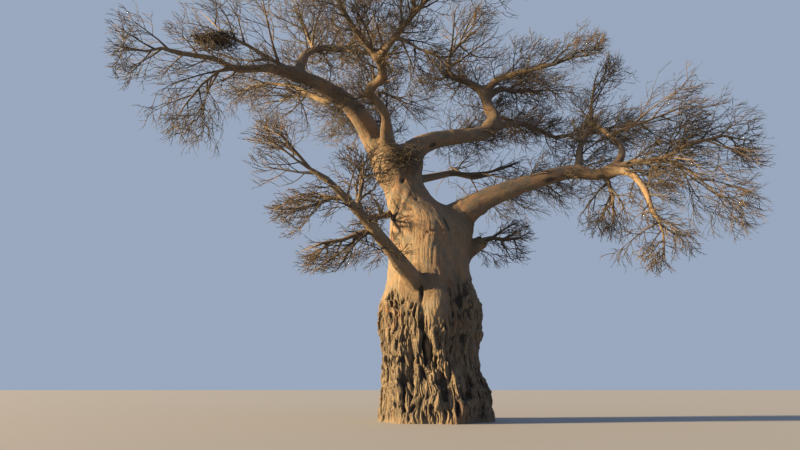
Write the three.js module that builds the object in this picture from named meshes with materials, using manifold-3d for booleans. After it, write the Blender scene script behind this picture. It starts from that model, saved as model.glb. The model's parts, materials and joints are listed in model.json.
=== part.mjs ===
// A leafless baobab, rooted in level ground: one swollen trunk, its boughs and its masses of bare twigs.
// Millimetres in the finished group, metres in the sizes below. +Z is up, +X right and +Y away in the usual
// view. The origin is the middle of the flat cut at ground level.
import * as THREE from "three";
import Module from "manifold-3d";

const MM = 1000;
const SEAT_GAP = 0.0003;
const SEAT_SLANT = 1.3;
const UP = new THREE.Vector3(0, 0, 1);

// Trunk: height, sideways lean of the middle and half width, from the flat cut up to the fork.
const TRUNK_PROFILE = [
  [0, 0, 2.3],
  [0.9, 0, 2.22],
  [1.7, -0.15, 2.03],
  [2.6, -0.24, 1.94],
  [3.7, -0.16, 2.08],
  [4.8, -0.2, 2.06],
  [5.8, -0.23, 1.83],
  [7.0, -0.2, 1.75],
  [8.1, -0.13, 1.74],
  [8.8, -0.45, 1.42],
  [9.5, -0.98, 1.05],
  [10.5, -1.37, 0.91],
  [11.1, -1.52, 1.0],
  [11.6, -1.56, 1.14],
];
const TRUNK_ROWS = 200;
const TRUNK_SIDES = 56;
const TRUNK_RINGS = { low: 11, upTo: 5.3, high: 5 };
const ROOT_LOBES = { count: 7, depth: 0.055, height: 1.3, turn: 0.35 };
const SMOOTH_FOLDS = { count: 5, depth: 0.02, twist: 0.3 };

// The torn lower wood stands in sharp upright flutes that lean and wander a little.
const TORN = { from: 0.15, fadeIn: 0.6, to: 4.6, fadeOut: 0.9, level: 0.36 };
const WANDER = { size: 0.1, rise: 1.3, twirl: 2 };
const FLUTES = [
  { crests: 11, lift: 0.17, twist: 0.25, start: 0 },
  { crests: 16, lift: 0.08, twist: -0.45, start: 1 },
];

// Swellings and hollows on the trunk's near side: place, size, how far each lifts the skin, and lean.
const MARKS = [
  { x: -0.05, z: 4.75, wide: 0.42, tall: 0.62, lift: 0.24, lean: 0 },
  { x: 1.3, z: 4.9, wide: 0.26, tall: 0.9, lift: 0.12, lean: 0 },
  { x: 0.95, z: 5.2, wide: 0.16, tall: 1.1, lift: -0.24, lean: -0.06 },
  { x: -1.05, z: 2.2, wide: 0.16, tall: 1.9, lift: -0.2, lean: 0.03 },
  { x: -0.35, z: 2.6, wide: 0.42, tall: 0.85, lift: -0.2, lean: 0 },
  { x: -0.1, z: 3.0, wide: 0.13, tall: 0.6, lift: 0.2, lean: -0.3 },
];
const NEAR_SIDE = 0.6;

// Boughs: thick gives the radii at the foot, past its swollen collar and at the tip. The route runs from
// inside what carries the bough to its tip.
const COLLAR_LENGTH = 0.75;
const BOUGH_RING_STEP = 1.2;
const BOUGH_LEAST_RINGS = 4;
const BOUGH_SIDES = [{ above: 0.6, sides: 12 }, { above: 0.3, sides: 8 }, { above: 0, sides: 6 }];
const BOUGHS = [
  { name: "left_bough", thick: [0.95, 0.6, 0.21],
    route: [[-1.75, 0, 11.1], [-2.7, -0.3, 12.35], [-3.15, -0.75, 13.0], [-3.9, -1.3, 13.75],
      [-5.1, -2.1, 14.2],
      [-6.3, -2.7, 14.5]] },
  { name: "upper_bough", thick: [0.8, 0.42, 0.34],
    route: [[-1.4, 0.1, 11.1], [-0.8, 0.3, 12.05], [0, 0.6, 12.6], [1.5, 1.2, 13.1], [2.7, 1.6, 13.5],
      [3.2, 1.8, 14.0]] },
  { name: "centre_bough", thick: [0.34, 0.23, 0.16],
    route: [[-1.7, -0.4, 11.3], [-2.1, -1.0, 12.1], [-2.1, -1.8, 12.9], [-2.8, -2.8, 13.5],
      [-2.2, -3.5, 13.8],
      [-2.35, -4.6, 14.2]] },
  { name: "right_bough", thick: [1.15, 0.42, 0.24], collar: 1.6,
    route: [[0.3, 0, 7.6], [1.4, -0.35, 8.85], [2.6, -0.9, 9.45], [4.5, -1.5, 9.95], [6.0, -1.8, 10.25],
      [6.8, -1.9, 10.05], [7.5, -2.0, 10.25]] },
  { name: "low_left_bough", thick: [0.55, 0.39, 0.11],
    route: [[-0.3, -1.2, 4.95], [-0.8, -1.75, 5.45], [-1.8, -3.0, 6.5], [-2.9, -4.2, 7.65],
      [-4.1, -5.2, 8.7]] },
  { name: "rear_left_bough", thick: [0.5, 0.33, 0.13],
    route: [[-1.8, 0.4, 11.2], [-2.4, 1.3, 12.7], [-3.5, 2.7, 14.6], [-4.9, 4.6, 16.5], [-6.2, 6.2, 17.6]] },
  { name: "rear_bough", thick: [0.42, 0.29, 0.13],
    route: [[-1.5, 0.5, 11.2], [-1.9, 1.5, 12.8], [-2.2, 3.0, 14.8], [-2.7, 4.5, 16.5], [-2.7, 5.5, 17.4]] },
  { name: "rear_right_bough", thick: [0.48, 0.33, 0.13],
    route: [[-1.2, 0.5, 11.3], [-0.3, 1.5, 12.7], [1.6, 3.0, 13.8], [3.1, 4.9, 15.0], [4.2, 6.4, 16.2]] },
  { name: "rear_low_bough", thick: [0.55, 0.34, 0.13],
    route: [[0.3, 0.5, 8.4], [1.6, 1.6, 9.7], [2.9, 2.7, 10.5], [4.9, 4.4, 11.6], [7.2, 6.2, 12.7]] },
  { name: "stub_bough", thick: [0.45, 0.33, 0.27],
    route: [[0.7, 0.2, 6.5], [1.5, 0.3, 7.15], [2.2, 0.5, 7.7]] },
  { name: "left_reach", thick: [0.24, 0.16, 0.09],
    route: [[-6.1, -2.55, 14.45], [-7.0, -2.9, 14.5], [-8.5, -3.2, 14.35], [-9.1, -3.35, 14.65],
      [-10.5, -3.8, 14.7]] },
  { name: "left_rise", thick: [0.28, 0.18, 0.12],
    route: [[-5.9, -2.4, 14.45], [-5.7, -1.9, 15.7], [-5.1, -0.6, 16.8], [-4.1, 1.3, 17.8],
      [-3.1, 3.0, 18.6]] },
  { name: "left_under", thick: [0.22, 0.13, 0.08],
    route: [[-4.4, -1.5, 13.85], [-4.9, -0.8, 14.0], [-5.7, -0.3, 14.6], [-6.5, 0.4, 15.3],
      [-7.7, 1.2, 15.9]] },
  { name: "riser_bough", thick: [0.36, 0.3, 0.24],
    route: [[3.0, 1.75, 13.8], [3.25, 1.95, 14.4], [3.0, 2.35, 15.4], [2.9, 2.7, 16.3]] },
  { name: "shelf_bough", thick: [0.24, 0.17, 0.11],
    route: [[3.1, 1.8, 13.9], [4.1, 2.5, 14.3], [5.0, 3.3, 14.65], [6.8, 5.2, 14.85]] },
  { name: "upper_left", thick: [0.24, 0.19, 0.14],
    route: [[2.9, 2.6, 16.1], [2.1, 2.5, 16.6], [1.0, 2.2, 16.9]] },
  { name: "upper_right", thick: [0.22, 0.16, 0.1],
    route: [[2.9, 2.6, 16.1], [3.5, 2.2, 16.6], [4.3, 1.3, 16.5], [5.4, 0.2, 16.3]] },
  { name: "upper_fork", thick: [0.22, 0.16, 0.1],
    route: [[3.0, 2.5, 15.8], [3.8, 3.2, 16.6], [4.8, 4.4, 17.1], [5.9, 5.6, 17.8]] },
  { name: "centre_top", thick: [0.18, 0.13, 0.08],
    route: [[-2.35, -4.5, 14.1], [-1.8, -5.3, 14.35], [-1.2, -6.2, 14.65], [-0.5, -7.2, 14.9]] },
  { name: "front_left", thick: [0.16, 0.12, 0.07],
    route: [[-2.35, -4.5, 14.15], [-3.0, -5.2, 14.6], [-3.5, -6.0, 15.0], [-3.9, -6.9, 15.4]] },
  { name: "right_loop", thick: [0.2, 0.15, 0.11],
    route: [[6.1, -1.7, 10.2], [6.4, -1.2, 11.1], [6.7, -0.6, 11.9], [7.3, 0.3, 12.8], [8.1, 1.3, 13.4]] },
  { name: "right_rise", thick: [0.2, 0.16, 0.1],
    route: [[7.4, -2.0, 10.15], [7.95, -1.9, 10.85], [8.15, -1.5, 11.5], [7.9, -0.5, 12.6],
      [7.6, 0.5, 13.5]] },
  { name: "right_reach", thick: [0.19, 0.14, 0.09],
    route: [[7.4, -2.0, 10.2], [8.2, -2.45, 10.4], [9.2, -3.1, 10.35], [9.9, -3.7, 10.7]] },
  { name: "right_drop", thick: [0.2, 0.16, 0.08],
    route: [[7.35, -2.0, 10.1], [7.8, -2.7, 9.95], [8.0, -3.8, 8.9], [8.0, -4.5, 7.7]] },
];

// Twig masses: each grows from one stem on a bough (at 1 is its tip) and fills a space of its own that runs
// along reach. girth is the half width and half height that its first twigs fill, and bare is the naked
// share of the stem.
const MASSES = [
  { name: "twigs_left_end", on: "left_reach", at: 1, reach: [-2.4, -0.9, -0.5], girth: [1.7, 1.3] },
  { name: "twigs_left_droop", on: "left_reach", at: 0.55, reach: [-2.0, -1.1, -3.3], girth: [2.0, 1.5] },
  { name: "twigs_left_upper", on: "left_bough", at: 0.96, reach: [-4.2, -0.8, 2.7], girth: [1.8, 1.5] },
  { name: "twigs_left_crown", on: "left_rise", at: 0.3, reach: [-1.3, 0.2, 3.0], girth: [1.8, 1.7] },
  { name: "twigs_left_rise", on: "left_rise", at: 1, reach: [2.5, 1.3, 0.9], girth: [1.7, 1.2] },
  { name: "twigs_left_under", on: "left_under", at: 1, reach: [-2.3, 1.4, 0.1], girth: [1.7, 1.3] },
  { name: "twigs_middle_crown", on: "left_rise", at: 0.68, reach: [2.2, -2.0, 1.6], girth: [1.6, 1.2] },
  { name: "twigs_centre_top", on: "centre_top", at: 1, reach: [2.4, -2.1, 1.5], girth: [1.9, 1.4] },
  { name: "twigs_front_rise", on: "centre_top", at: 0.75, reach: [-0.7, -2.8, 2.5], girth: [1.8, 1.4] },
  { name: "twigs_front_left", on: "front_left", at: 1, reach: [-2.8, -1.8, 1.1], girth: [1.9, 1.4] },
  { name: "twigs_centre_side", on: "centre_top", at: 0.35, reach: [2.3, 0.8, -0.7], girth: [1.3, 1.1] },
  { name: "twigs_upper_left", on: "upper_left", at: 1, reach: [2.2, -0.3, 3.1], girth: [1.8, 1.6] },
  { name: "twigs_upper_back", on: "upper_left", at: 0.55, reach: [-1.3, 3.2, 2.2], girth: [1.8, 1.3] },
  { name: "twigs_upper_right", on: "upper_right", at: 1, reach: [2.7, -0.9, 0.5], girth: [1.7, 1.5] },
  { name: "twigs_upper_fork", on: "upper_fork", at: 1, reach: [2.9, 2.4, 0.9], girth: [1.9, 1.3] },
  { name: "twigs_shelf", on: "shelf_bough", at: 1, reach: [2.9, 1.9, 0.6], girth: [1.7, 1.3] },
  { name: "twigs_right_loop", on: "right_loop", at: 1, reach: [2.1, 2.7, 1.5], girth: [1.5, 1.2] },
  { name: "twigs_right_crest", on: "right_rise", at: 1, reach: [0.8, -0.1, 3.3], girth: [1.3, 1.3] },
  { name: "twigs_right_high", on: "right_rise", at: 0.6, reach: [4.4, -0.7, 1.3], girth: [1.9, 1.3] },
  { name: "twigs_right_end", on: "right_reach", at: 1, reach: [2.8, -0.2, 0.1], girth: [1.6, 1.3] },
  { name: "twigs_right_low", on: "right_reach", at: 0.6, reach: [2.9, -1.6, -2.6], girth: [1.6, 1.3] },
  { name: "twigs_right_drop", on: "right_drop", at: 1, reach: [0, -0.6, -2.0], girth: [1.3, 1.2] },
  { name: "twigs_right_hang", on: "right_bough", at: 0.95, reach: [0.2, -0.3, -2.7], girth: [1.0, 0.9] },
  { name: "twigs_low_end", on: "low_left_bough", at: 1, reach: [-2.4, -1.0, 1.8], girth: [1.5, 1.2] },
  { name: "twigs_low_side", on: "low_left_bough", at: 0.86, reach: [-2.6, -0.6, -0.7], girth: [1.2, 0.8] },
  { name: "twigs_low_hang", on: "low_left_bough", at: 0.58, reach: [-3.0, -0.7, -1.0], girth: [1.1, 0.7] },
  { name: "twigs_low_rise", on: "low_left_bough", at: 0.74, reach: [0.1, -0.1, 2.5], girth: [1.1, 1.1] },
  { name: "twigs_back", on: "trunk", from: [-1.0, 0.5, 10.5], reach: [5.6, 6.0, 2.6],
    girth: [1.9, 1.3], bare: 0.35 },
  { name: "twigs_back_left", on: "trunk", from: [-1.4, 0.4, 9.6], reach: [-1.7, -2.1, -1.8],
    girth: [0.8, 0.7], bare: 0.45 },
  { name: "twigs_stub", on: "stub_bough", at: 1, reach: [2.3, 0.2, 0], girth: [1.1, 0.8] },
  { name: "twigs_rear_left", on: "rear_left_bough", at: 1, reach: [-4.1, 2.9, 0.9], girth: [2.3, 1.5] },
  { name: "twigs_rear_side", on: "rear_left_bough", at: 0.8, reach: [0.1, 4.6, 1.2], girth: [2.2, 1.5] },
  { name: "twigs_rear", on: "rear_bough", at: 1, reach: [1.6, 4.3, 1.4], girth: [2.3, 1.5] },
  { name: "twigs_rear_right", on: "rear_right_bough", at: 1, reach: [2.2, 4.1, 1.3], girth: [2.2, 1.5] },
  { name: "twigs_rear_low", on: "rear_low_bough", at: 1, reach: [4.1, 2.7, 1.2], girth: [2.2, 1.6] },
];

// A mass may spread past its girth by this much. Its space is this share of its reach to each side of a
// middle that lies this far along the reach.
const SPACE = { spread: 1.7, half: 0.58, middle: 0.53 };

// The twig rule: a twig bends a little at each of its steps and carries children that turn round it, each
// shorter and thinner than the twig below. Draws depend only on the mass and the twig, never on the order.
// A child that doesn't fit is tried shorter and turned aside, and is left out if no trial fits. bare and
// last are the shares of a twig between which it has its places for children, of which kept are used.
const RULE = {
  steps: 4,
  children: [9, 9],
  kept: [8, 1],
  split: [0.65, 1.25],
  turn: 2.4,
  flat: 0.8,
  wander: 0.2,
  outward: 0.1,
  shorter: [1, 0.62],
  shortenAlong: 0.45,
  thinner: 0.6,
  taper: 0.72,
  trials: [[1, 0], [0.8, 1.3], [0.7, -1.3], [0.55, 0]],
  clearance: 0.06,
  edge: 0.03,
  least: 0.014,
  bare: [0.1, 0.15],
  last: 0.96,
  spacing: [0.3, 0.5],
  luck: [0.8, 0.4],
  firstKept: 4,
  idStep: 16,
  turnSlot: 31,
};

// A stem's thickness as a share of its bough's, its thickness on the trunk, and how far it bends from its
// bough's heading before it runs along the reach.
const STEM = { tip: 0.84, side: 0.6, most: 0.12, onTrunk: 0.24, tipBend: 0.3, sideBend: 0.08, turn: 0.25,
  end: 0.98, wander: 0.1 };
const STEM_SIDES = 4;
const TWIG_SIDES = 3;
const SUNK_ROOT = 0.55;

const BARK = { color: 0x8b735c, roughness: 0.88, metalness: 0 };
const TWIG = { color: 0x6b5846, roughness: 0.92, metalness: 0 };

const wasm = await Module();
wasm.setup();

const vec = (p) => new THREE.Vector3(...p);
const smooth = (x) => {
  const t = THREE.MathUtils.clamp(x, 0, 1);
  return t * t * (3 - 2 * t);
};

// A seeded draw from 0 to 1 for one slot of one twig of one mass.
function draw(seed, twig, slot) {
  let h = Math.imul(seed, 0x9e3779b1) ^ Math.imul(twig + 1, 0x85ebca6b) ^ Math.imul(slot + 1, 0xc2b2ae35);
  h = Math.imul(h ^ (h >>> 15), 0x2c1b3c6d);
  h = Math.imul(h ^ (h >>> 12), 0x297a2d39);
  return ((h ^ (h >>> 15)) >>> 0) / 4294967296;
}

// A closed skin through rings of equal count: side walls and two fans of cap triangles.
function skin(rings) {
  const sides = rings[0].length;
  const index = [];
  for (let r = 0; r + 1 < rings.length; r++)
    for (let i = 0; i < sides; i++) {
      const a = r * sides + i;
      const b = r * sides + ((i + 1) % sides);
      index.push(a, b, b + sides, a, b + sides, a + sides);
    }
  const top = (rings.length - 1) * sides;
  for (let i = 1; i + 1 < sides; i++) {
    index.push(0, i + 1, i);
    index.push(top, top + i, top + i + 1);
  }
  return { points: rings.flat(), index };
}

// The same skin drawn to a point after its last ring.
function pointedSkin(rings, tip) {
  const sides = rings[0].length;
  const { points, index } = skin(rings);
  const walls = index.slice(0, (rings.length - 1) * sides * 6);
  const last = (rings.length - 1) * sides;
  for (let i = 1; i + 1 < sides; i++) walls.push(0, i + 1, i);
  for (let i = 0; i < sides; i++) walls.push(last + i, last + ((i + 1) % sides), points.length);
  return { points: [...points, tip], index: walls };
}

function solid({ points, index }) {
  const vertProperties = new Float32Array(points.flatMap((p) => [p.x * MM, p.y * MM, p.z * MM]));
  return new wasm.Manifold(new wasm.Mesh({ numProp: 3, vertProperties, triVerts: new Uint32Array(index) }));
}

// The biggest body of a solid: loose scraps and the shells of sealed hollows are left behind.
function mainBody(shape) {
  return shape.decompose().reduce((a, b) => (b.volume() > a.volume() ? b : a));
}

// Rings of a round section along a line of points, turned as little as possible from one to the next.
function ringsAlong(points, radii, sides) {
  let side = new THREE.Vector3();
  return points.map((p, i) => {
    const ahead = points[Math.min(i + 1, points.length - 1)];
    const behind = points[Math.max(i - 1, 0)];
    const tangent = ahead.clone().sub(behind).normalize();
    if (i === 0) side.crossVectors(tangent, Math.abs(tangent.z) > 0.9 ? new THREE.Vector3(1, 0, 0) : UP);
    side = side.clone().addScaledVector(tangent, -side.dot(tangent)).normalize();
    const other = new THREE.Vector3().crossVectors(tangent, side);
    return Array.from({ length: sides }, (_, k) => {
      const turn = (k / sides) * Math.PI * 2;
      return p.clone().addScaledVector(side, Math.cos(turn) * radii[i])
        .addScaledVector(other, Math.sin(turn) * radii[i]);
    });
  });
}

// Trunk shape
const trunkMiddle = new THREE.CatmullRomCurve3(
  TRUNK_PROFILE.map(([z, x, half]) => new THREE.Vector3(x, half, z)), false, "centripetal",
);
const trunkRows = trunkMiddle.getPoints(TRUNK_ROWS).map((p) => ({ z: p.z, x: p.x, half: p.y }));

function trunkRow(z) {
  const next = trunkRows.findIndex((row) => row.z >= z);
  if (next < 1) return next ? trunkRows.at(-1) : trunkRows[0];
  const a = trunkRows[next - 1];
  const b = trunkRows[next];
  const t = (z - a.z) / (b.z - a.z);
  return { x: a.x + (b.x - a.x) * t, half: a.half + (b.half - a.half) * t };
}

// The trunk's half width at a turn and height, with its lobes, folds, flutes and marks.
function trunkReach(turn, z, x, half) {
  const root = (1 - smooth(z / ROOT_LOBES.height)) * ROOT_LOBES.depth;
  const lobes = root * Math.cos(ROOT_LOBES.count * (turn + ROOT_LOBES.turn));
  const fold = SMOOTH_FOLDS.depth * Math.cos(SMOOTH_FOLDS.count * turn + SMOOTH_FOLDS.twist * z);
  const torn = smooth((z - TORN.from) / TORN.fadeIn) * (1 - smooth((z - TORN.to) / TORN.fadeOut));
  const phase = turn + WANDER.size * Math.sin(WANDER.rise * z + WANDER.twirl * turn);
  const fluted = FLUTES.reduce((sum, { crests, lift, twist, start }) => {
    const crest = 1 - Math.abs(Math.sin((crests / 2) * phase + twist * z + start));
    return sum + lift * (crest - TORN.level);
  }, 0);
  const near = smooth((-Math.sin(turn) * half) / NEAR_SIDE);
  const marked = MARKS.reduce((sum, mark) => {
    const across = (x + Math.cos(turn) * half - mark.x - mark.lean * (z - mark.z)) / mark.wide;
    return sum + mark.lift * Math.exp(-(across ** 2) - ((z - mark.z) / mark.tall) ** 2);
  }, 0);
  return half * (1 + lobes + fold) + torn * fluted + near * marked;
}

function trunkSkin(grow = 0) {
  const top = TRUNK_PROFILE.at(-1)[0];
  const { low, upTo, high } = TRUNK_RINGS;
  const count = low + high;
  const rings = [];
  for (let r = 0; r <= count; r++) {
    const z = r < low ? (upTo * r) / low : upTo + ((top - upTo) * (r - low)) / high;
    const { x, half } = trunkRow(z);
    const lift = r === count ? grow : r === 0 ? -grow : 0;
    rings.push(
      Array.from({ length: TRUNK_SIDES }, (_, k) => {
        const turn = (k / TRUNK_SIDES) * Math.PI * 2;
        const reach = trunkReach(turn, z, x, half) + grow * SEAT_SLANT;
        return new THREE.Vector3(x + Math.cos(turn) * reach, Math.sin(turn) * reach, z + lift);
      }),
    );
  }
  return skin(rings);
}

// A bough's middle line and radius at a share of its length.
function boughShape({ route, thick: [foot, past, tip], collar = COLLAR_LENGTH }) {
  const curve = new THREE.CatmullRomCurve3(route.map(vec), false, "centripetal");
  const length = curve.getLength();
  const radius = (t) => past + (tip - past) * t + (foot - past) * Math.exp((-t * length) / collar);
  return { curve, length, radius };
}

function boughSkin(bough, grow = 0) {
  const { curve, length, radius } = boughShape(bough);
  const count = Math.max(BOUGH_LEAST_RINGS, Math.round(length / BOUGH_RING_STEP) + 2);
  const { sides } = BOUGH_SIDES.find(({ above }) => bough.thick[0] > above);
  const shares = Array.from({ length: count + 1 }, (_, i) => i / count);
  const points = shares.map((t) => curve.getPointAt(t));
  const rings = ringsAlong(points, shares.map((t) => radius(t) + grow * SEAT_SLANT), sides);
  const ends = [curve.getTangentAt(0).negate(), curve.getTangentAt(1)];
  [rings[0], rings[count]].forEach((ring, i) => ring.forEach((p) => p.addScaledVector(ends[i], grow)));
  return skin(rings);
}

// Limbs as straight stretches with a radius, for keeping twigs off them.
const OBSTACLE_STEPS = 12;
const TRUNK_ROWS_SKIPPED = 8;
const obstacles = [];

function addObstacles(owner, points, radii) {
  for (let i = 0; i + 1 < points.length; i++)
    obstacles.push({ owner, a: points[i], b: points[i + 1], radius: Math.max(radii[i], radii[i + 1]) });
}

function distanceToStretch(p, { a, b }) {
  const along = b.clone().sub(a);
  const t = THREE.MathUtils.clamp(p.clone().sub(a).dot(along) / along.lengthSq(), 0, 1);
  return p.distanceTo(a.clone().addScaledVector(along, t));
}

// The space of a mass: an ellipsoid along its reach. nearness is 0 in its middle and 1 at its edge.
function massSpace({ reach, girth }, start) {
  const along = vec(reach);
  const axis = along.clone().normalize();
  const side = new THREE.Vector3().crossVectors(UP, axis).normalize();
  const rise = new THREE.Vector3().crossVectors(axis, side);
  const middle = start.clone().addScaledVector(along, SPACE.middle);
  const half = [along.length() * SPACE.half, girth[0] * SPACE.spread, girth[1] * SPACE.spread];
  const nearness = (p) => {
    const d = p.clone().sub(middle);
    return Math.hypot(d.dot(axis) / half[0], d.dot(side) / half[1], d.dot(rise) / half[2]);
  };
  return { nearness, axis, side, rise };
}

function prepareMass(mass, seed) {
  const shape = mass.on === "trunk" ? null : boughShape(BOUGHS.find((b) => b.name === mass.on));
  const start = shape ? shape.curve.getPointAt(mass.at) : vec(mass.from);
  const heading = shape ? shape.curve.getTangentAt(mass.at) : vec(mass.reach).normalize();
  const share = mass.at === 1 ? STEM.tip : STEM.side;
  const thick = shape ? Math.min(shape.radius(mass.at) * share, STEM.most) : STEM.onTrunk;
  return { ...mass, seed, start, heading, thick, space: massSpace(mass, start) };
}

// The stem bends from its bough's heading into the reach of the mass.
function stemPath({ seed, start, heading, reach, at }) {
  const along = vec(reach);
  const bend = at === 1 ? STEM.tipBend : STEM.sideBend;
  const curve = new THREE.QuadraticBezierCurve3(
    start,
    start.clone().addScaledVector(heading, bend * along.length()).addScaledVector(along, STEM.turn),
    start.clone().addScaledVector(along, STEM.end),
  );
  const points = curve.getPoints(RULE.steps);
  points.forEach((p, i) => {
    if (i === 0 || i === RULE.steps) return;
    [0, 1, 2].forEach((k) => {
      const shift = (draw(seed, 0, i * 3 + k) - 0.5) * STEM.wander * along.length();
      p.setComponent(k, p.getComponent(k) + shift);
    });
  });
  return points;
}

function twigPath({ seed, space }, { id, start, heading, length }) {
  const points = [start];
  const dir = heading.clone();
  for (let i = 1; i <= RULE.steps; i++) {
    const shake = new THREE.Vector3(...[0, 1, 2].map((k) => draw(seed, id, i * 3 + k) * 2 - 1));
    dir.addScaledVector(shake, RULE.wander).addScaledVector(space.axis, RULE.outward).normalize();
    points.push(points.at(-1).clone().addScaledVector(dir, length / RULE.steps));
  }
  return points;
}

function fits(mass, points, thick) {
  return points.slice(1).every((p) => {
    const own = mass.space.nearness(p);
    if (own > 1) return false;
    if (masses.some((m) => m !== mass && m.space.nearness(p) < own + RULE.edge)) return false;
    return obstacles.every(
      (o) => o.owner === mass.name || distanceToStretch(p, o) > o.radius + thick + RULE.clearance,
    );
  });
}

// The children of a twig, spread along it and turned round it one after another.
function children(mass, parent) {
  const { seed } = mass;
  const count = RULE.children[parent.level];
  const from = parent.level === 0 ? mass.bare ?? RULE.bare[0] : RULE.bare[1];
  const made = [];
  for (let k = 0; k < RULE.kept[parent.level]; k++) {
    const place = parent.level === 0 ? k : RULE.firstKept + k;
    const id = parent.id * RULE.idStep + place + 1;
    const spread = (place + RULE.spacing[0] + RULE.spacing[1] * draw(seed, id, 0)) / count;
    const s = from + (RULE.last - from) * spread;
    const spot = s * RULE.steps;
    const step = Math.min(Math.floor(spot), RULE.steps - 1);
    const [a, b] = [parent.points[step], parent.points[step + 1]];
    const along = b.clone().sub(a).normalize();
    const side = new THREE.Vector3().crossVectors(UP, along).normalize();
    const rise = new THREE.Vector3().crossVectors(along, side);
    const turn = place * RULE.turn + draw(seed, parent.id, RULE.turnSlot) * Math.PI * 2;
    const split = RULE.split[0] + (RULE.split[1] - RULE.split[0]) * draw(seed, id, 1);
    const start = a.clone().lerp(b, spot - step);
    const luck = RULE.luck[0] + RULE.luck[1] * draw(seed, id, 2);
    const full = parent.length * RULE.shorter[parent.level] * (1 - RULE.shortenAlong * s) * luck;
    const thick = Math.max(parent.thick * (1 - RULE.taper * s) * RULE.thinner, RULE.least);
    for (const [share, shift] of RULE.trials) {
      const heading = along.clone().multiplyScalar(Math.cos(split))
        .addScaledVector(side, Math.sin(split) * Math.cos(turn + shift))
        .addScaledVector(rise, Math.sin(split) * Math.sin(turn + shift) * RULE.flat)
        .normalize();
      const twig = { id, level: parent.level + 1, start, heading, length: full * share, thick };
      twig.points = twigPath(mass, twig);
      if (!fits(mass, twig.points, thick)) continue;
      made.push(twig);
      break;
    }
  }
  return made;
}

// Stems are drawn with every step, the first twigs with a bend half way and the next ones straight.
function twigSolid(twig) {
  if (twig.level === 0) {
    const radii = twig.points.map((_, i) => twig.thick * (1 - (RULE.taper * i) / RULE.steps));
    return solid(skin(ringsAlong(twig.points, radii, STEM_SIDES)));
  }
  const bends = twig.level === 1 ? [0, 2, 4] : [0, 4];
  const points = bends.map((i) => twig.points[i]);
  const radii = bends.map((i) => twig.thick * (i ? 1 - (RULE.taper * i) / RULE.steps : SUNK_ROOT));
  const rings = ringsAlong(points, radii, TWIG_SIDES);
  return solid(pointedSkin(rings.slice(0, -1), points.at(-1)));
}

function massSolid(mass) {
  const twigs = [mass.stem];
  for (const twig of twigs) if (twig.level < RULE.children.length) twigs.push(...children(mass, twig));
  return twigs.map(twigSolid).reduce((a, b) => a.add(b));
}

function asMesh(name, shape, { color, roughness, metalness }) {
  const { numProp, vertProperties, triVerts } = shape.getMesh();
  const position = new Float32Array((vertProperties.length / numProp) * 3);
  for (let i = 0; i < position.length / 3; i++)
    position.set(vertProperties.subarray(i * numProp, i * numProp + 3), i * 3);
  const geometry = new THREE.BufferGeometry()
    .setAttribute("position", new THREE.BufferAttribute(position, 3))
    .setIndex(new THREE.BufferAttribute(triVerts, 1));
  geometry.computeVertexNormals();
  const mesh = new THREE.Mesh(geometry, new THREE.MeshStandardMaterial({ color, roughness, metalness }));
  mesh.name = name;
  return mesh;
}

// Assembly: the trunk is whole, and each later limb or mass is cut clear of the limbs before it.
const tree = new THREE.Group();
tree.name = "baobab_tree";
tree.add(asMesh("trunk", solid(trunkSkin()), BARK));
const limbs = [solid(trunkSkin(SEAT_GAP))];
const trunkStretches = trunkRows.filter((_, i) => i % TRUNK_ROWS_SKIPPED === 0);
addObstacles("trunk", trunkStretches.map(({ x, z }) => new THREE.Vector3(x, 0, z)),
  trunkStretches.map(({ half }) => half));

for (const bough of BOUGHS) {
  const cut = limbs.reduce((shape, limb) => shape.subtract(limb), solid(boughSkin(bough)));
  tree.add(asMesh(bough.name, mainBody(cut), BARK));
  limbs.push(solid(boughSkin(bough, SEAT_GAP)));
  const { curve, radius } = boughShape(bough);
  const shares = Array.from({ length: OBSTACLE_STEPS + 1 }, (_, i) => i / OBSTACLE_STEPS);
  addObstacles(bough.name, shares.map((t) => curve.getPointAt(t)), shares.map(radius));
}

const masses = MASSES.map((mass, i) => prepareMass(mass, i + 1));
for (const mass of masses) {
  const points = stemPath(mass);
  const length = vec(mass.reach).length();
  mass.stem = { id: 0, level: 0, points, length, thick: mass.thick };
  addObstacles(mass.name, points, points.map(() => mass.thick));
}
for (const mass of masses) {
  const cut = limbs.reduce((shape, limb) => shape.subtract(limb), massSolid(mass));
  tree.add(asMesh(mass.name, mainBody(cut), TWIG));
}

export default tree;
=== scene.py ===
"""A leafless baobab in a plain studio: bark with real relief on its limbs and a crown grown twig by twig.

Metres, +Z up, +X right and +Y away from the camera, with the origin in the middle of the flat cut at ground
level. The limbs and the masses of twigs keep the sizes and the seeded rule of the part's own source.
"""

import json
import logging
import math
from collections.abc import Callable, Iterator
from dataclasses import dataclass, field
from enum import Enum
from functools import partial
from itertools import product

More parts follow.
